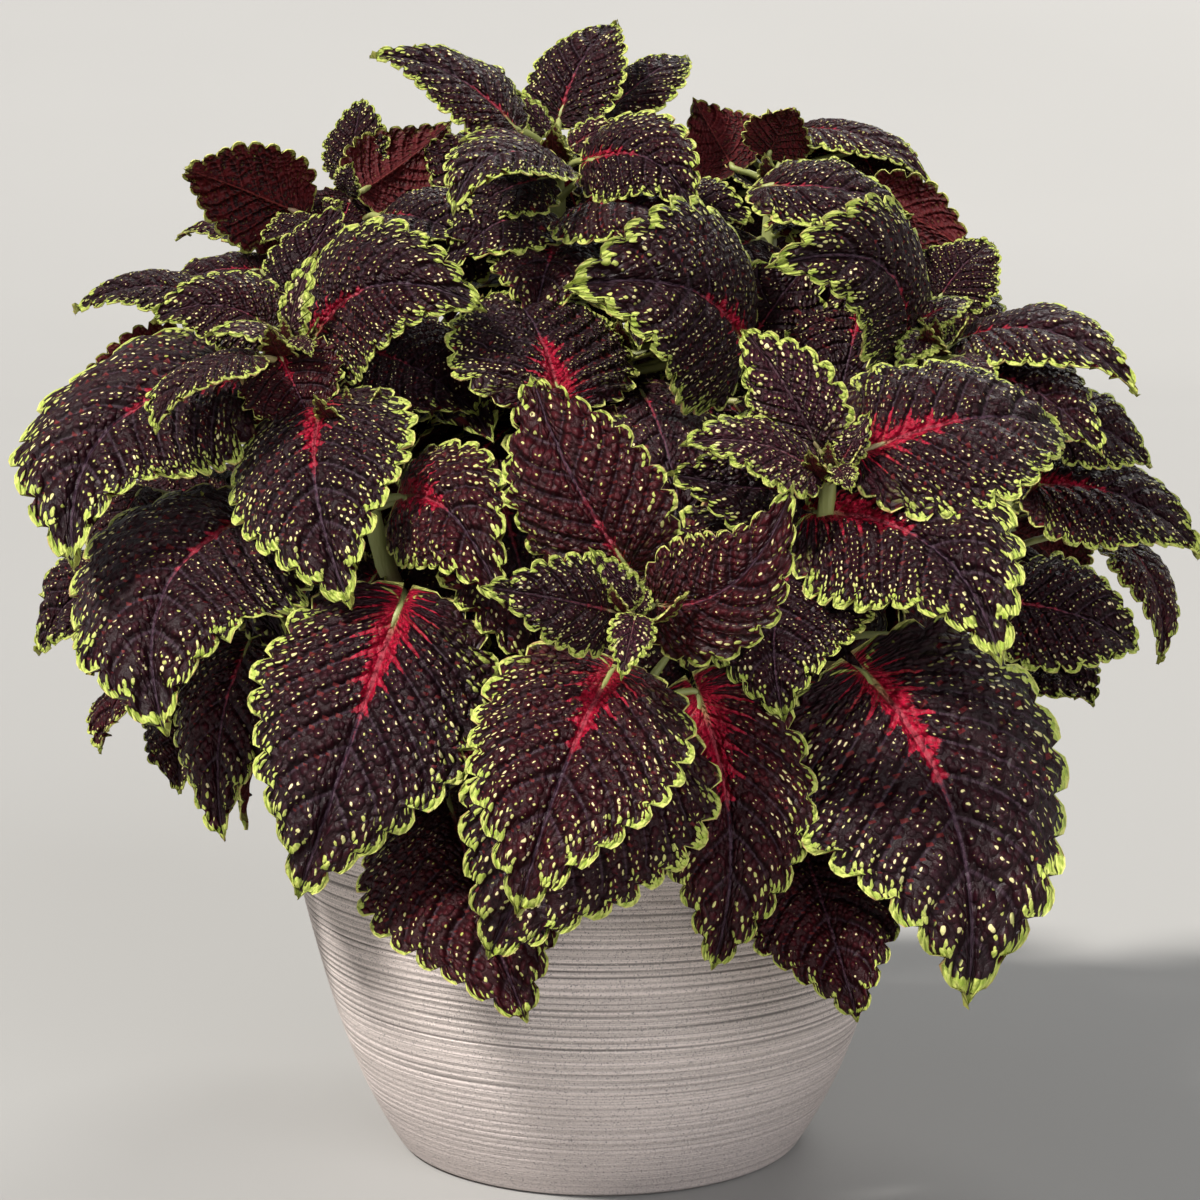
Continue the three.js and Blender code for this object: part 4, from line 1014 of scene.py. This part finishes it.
def young_leaves(head, seed):
    """Pairs of young leaves at the head of a stem, each pair across the one below."""
    leaves = []
    for pair, (length, width, slope) in enumerate(YOUNG_PAIRS):
        for side in (0, 180):
            compass = side + 90 * pair + seed * 57
            base = np.array(head, float) + compass_way(compass, 0) * (1.5 + pair) - [0, 0, 1 + 3 * pair]
            tip = base + compass_way(compass, slope) * length
            look = (0.15, 1.4, 1 - 0.2 * pair, 0.1)
            leaves.append((base, tip, width, (compass + 180, 90 - slope), -0.1, 0, look))
    return leaves


def shoot(name, stem, inner, seed, materials):
    foot, head, leaves, turn = stem
    skin = Skin()
    curve = stem_curve(foot, head)
    nodes = leaf_nodes(curve)
    add_stem(skin, curve)
    groups = (seed, leaves, DETAIL), (seed + INNER_SEED_SHIFT, inner, INNER_DETAIL)
    for first_seed, group, detail in groups:
        for order, leaf in enumerate(group):
            start = stalk_start(nodes, np.array(leaf[0], float), order)
            add_leaf(skin, leaf, start, first_seed + order * LEAF_SEED_STEP, detail)
    start = np.array(head) - [0, 0, YOUNG_STALK_DROP]
    for order, leaf in enumerate(young_leaves(head, seed)):
        add_leaf(skin, leaf, start, seed + YOUNG_SEED_SHIFT + order * LEAF_SEED_STEP)
    return skin.make(name, materials, turn)


# ---- planter and soil ----
def pot_piece(material):
    rng = np.random.default_rng(GROOVE_SEED)
    foot = spaced_outline(POT_FOOT, POT_FOOT_STEPS)[:-1]
    wall = spaced_outline(POT_OUTSIDE[1:], POT_WALL_STEPS)
    lip = spaced_outline([POT_OUTSIDE[-1], *POT_LIP, POT_INSIDE[0]], POT_LIP_STEPS)[1:]
    floor = POT_INSIDE[-1][1]
    outline = [(0, 0), (CENTRE_RADIUS, 0), *foot, *wall, *lip, *POT_INSIDE[1:]]
    outline += [(CENTRE_RADIUS, floor), (0, floor)]
    centres = GROOVES_FROM + np.cumsum(rng.uniform(*GROOVE_PITCH, MOST_GROOVES))
    centres = centres[centres < GROOVES_TO]
    widths = rng.uniform(*GROOVE_WIDTHS, len(centres))
    depths = rng.uniform(*GROOVE_SHARES, len(centres)) * np.interp(centres, *GROOVE_FADE)
    grooves = []

    def groove(height, angle):
        wander = 0.35 * np.sin(angle + 0.7) + 0.2 * np.sin(3 * angle + height * 0.11)
        deep = np.zeros_like(height)
        for centre, width, depth in zip(centres, widths, depths):
            waves = np.sin(2 * angle + centre * 1.7) * np.sin(5 * angle + centre * 0.6)
            waxing = depth * (0.78 + 0.22 * waves)
            deep = np.maximum(deep, waxing * np.exp(-((height - centre - wander) / width) ** 2))
        return deep

    def push(radii, heights, angles):
        outside = np.zeros(radii.shape)
        outside[1 + len(foot):1 + len(foot) + len(wall)] = 1
        cut = groove(heights, angles) * outside
        drift = 0.12 * np.sin(4 * angles + heights * 0.05) * outside
        grooves.append(np.stack([cut.ravel(), heights.ravel(), np.zeros(cut.size)], -1))
        return radii - GROOVE_DEPTH * cut + drift, heights

    verts, quads, tris = lathe(outline, POT_SIDES, push)
    skin = Skin()
    skin.add(verts, quads, 0, tris, {"groove": grooves[0]})
    return skin.make("pot_turned", [material], sharp=60)


def soil_piece(material):
    radii = np.linspace(SOIL_WALL[-1][0], 2.0, SOIL_RINGS)
    top = [(r, SOIL_TOP + SOIL_CROWN * (1 - (r / SOIL_RADIUS) ** 2)) for r in radii]

    def push(radii, heights, angles):
        x, y = radii * np.cos(angles), radii * np.sin(angles)
        lumps = sum(height * soft_noise(x / size, y / size, seed) for height, size, seed in LUMPS)
        return radii, heights + lumps * (heights >= SOIL_TOP)

    outline = [(0, SOIL_WALL[0][1]), *SOIL_WALL, *top, (0, SOIL_TOP + SOIL_CROWN)]
    verts, quads, tris = lathe(outline, POT_SIDES, push)
    skin = Skin()
    skin.add(verts, quads, 0, tris)
    return skin.make("soil_crumbs", [material], sharp=80)


# ---- floor and lights, in metres ----
FLOOR_EDGE, FLOOR_BEND, FLOOR_RISE, FLOOR_REACH, FLOOR_SIDES = 5.5, 3.0, 0.4, 15.5, 96


def backdrop():
    """A pale floor that rises gently all round, far from the plant."""
    bend = np.linspace(0, FLOOR_BEND, 9)
    radii = np.concatenate([[1.0], FLOOR_EDGE + bend, [FLOOR_REACH]])
    heights = np.concatenate([[0.0], FLOOR_RISE * bend ** 2 / (2 * FLOOR_BEND)])
    heights = np.append(heights, heights[-1] + FLOOR_RISE * (radii[-1] - radii[-2]))
    angles = np.arange(FLOOR_SIDES) * 2 * np.pi / FLOOR_SIDES
    verts = [(r * math.cos(a), r * math.sin(a), z) for r, z in zip(radii, heights) for a in angles]
    rings = np.arange(len(verts)).reshape(len(radii), FLOOR_SIDES)
    mesh = bpy.data.meshes.new("backdrop")
    mesh.from_pydata(verts, [], [*ring_quads(rings).tolist(), rings[0].tolist()])
    mesh.shade_smooth()
    mesh.materials.append(floor_material())
    obj = add_object("backdrop", mesh)


def soft_sun(name, place, angle, strength, colour):
    light = bpy.data.lights.new(name, "SUN")
    light.angle, light.energy, light.color = math.radians(angle), strength, colour
    add_object(name, light).rotation_euler = Vector(place).to_track_quat("Z", "Y").to_euler()


# ---- the object ----
foliage = [leaf_upper(), leaf_under(), stem_material()]
inner = inner_leaves(INNER_LEAVES, np.random.default_rng(INNER_SEED))
for number, (node, stem) in enumerate(STEMS.items()):
    name, seed = node.replace("shoot_", "leafy_"), FIRST_SEED + STEM_SEED_STEP * number
    piece = shoot(name, stem, inner[node] + COVER.get(node, []), seed, foliage)
    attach(piece, "root")
    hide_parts(node)

pot = pot_piece(pot_material())
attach(pot, "root")
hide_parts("pot")

soil = soil_piece(soil_material())
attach(soil, "root")
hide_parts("soil")

# ---- the set ----
backdrop()
soft_sun("key", (-1.1, -0.75, 1.6), 8, 5.3, (1.0, 0.965, 0.92))
soft_sun("back", (0.6, 1.5, 1.5), 25, 1.0, (1.0, 0.99, 0.96))
soft_sun("fill", (0.9, -1.7, 0.75), 40, 1.8, (0.96, 0.97, 1.0))

world = bpy.data.worlds.new("studio")
world.use_nodes = True
sky = world.node_tree.nodes["Background"].inputs
sky["Color"].default_value, sky["Strength"].default_value = (0.97, 0.98, 1.0, 1), 0.26
bpy.context.scene.world = world
bpy.context.scene.view_settings.view_transform = "Standard"

CAMERA_PITCH = 7.68  # degrees below level
camera = bpy.data.cameras.new("camera")
camera.lens, camera.sensor_width = 81.6, 36
view = add_object("camera", camera)
view.location = (0, -1.116, 0.377)
view.rotation_euler = (math.radians(90 - CAMERA_PITCH), 0, 0)
bpy.context.scene.camera = view
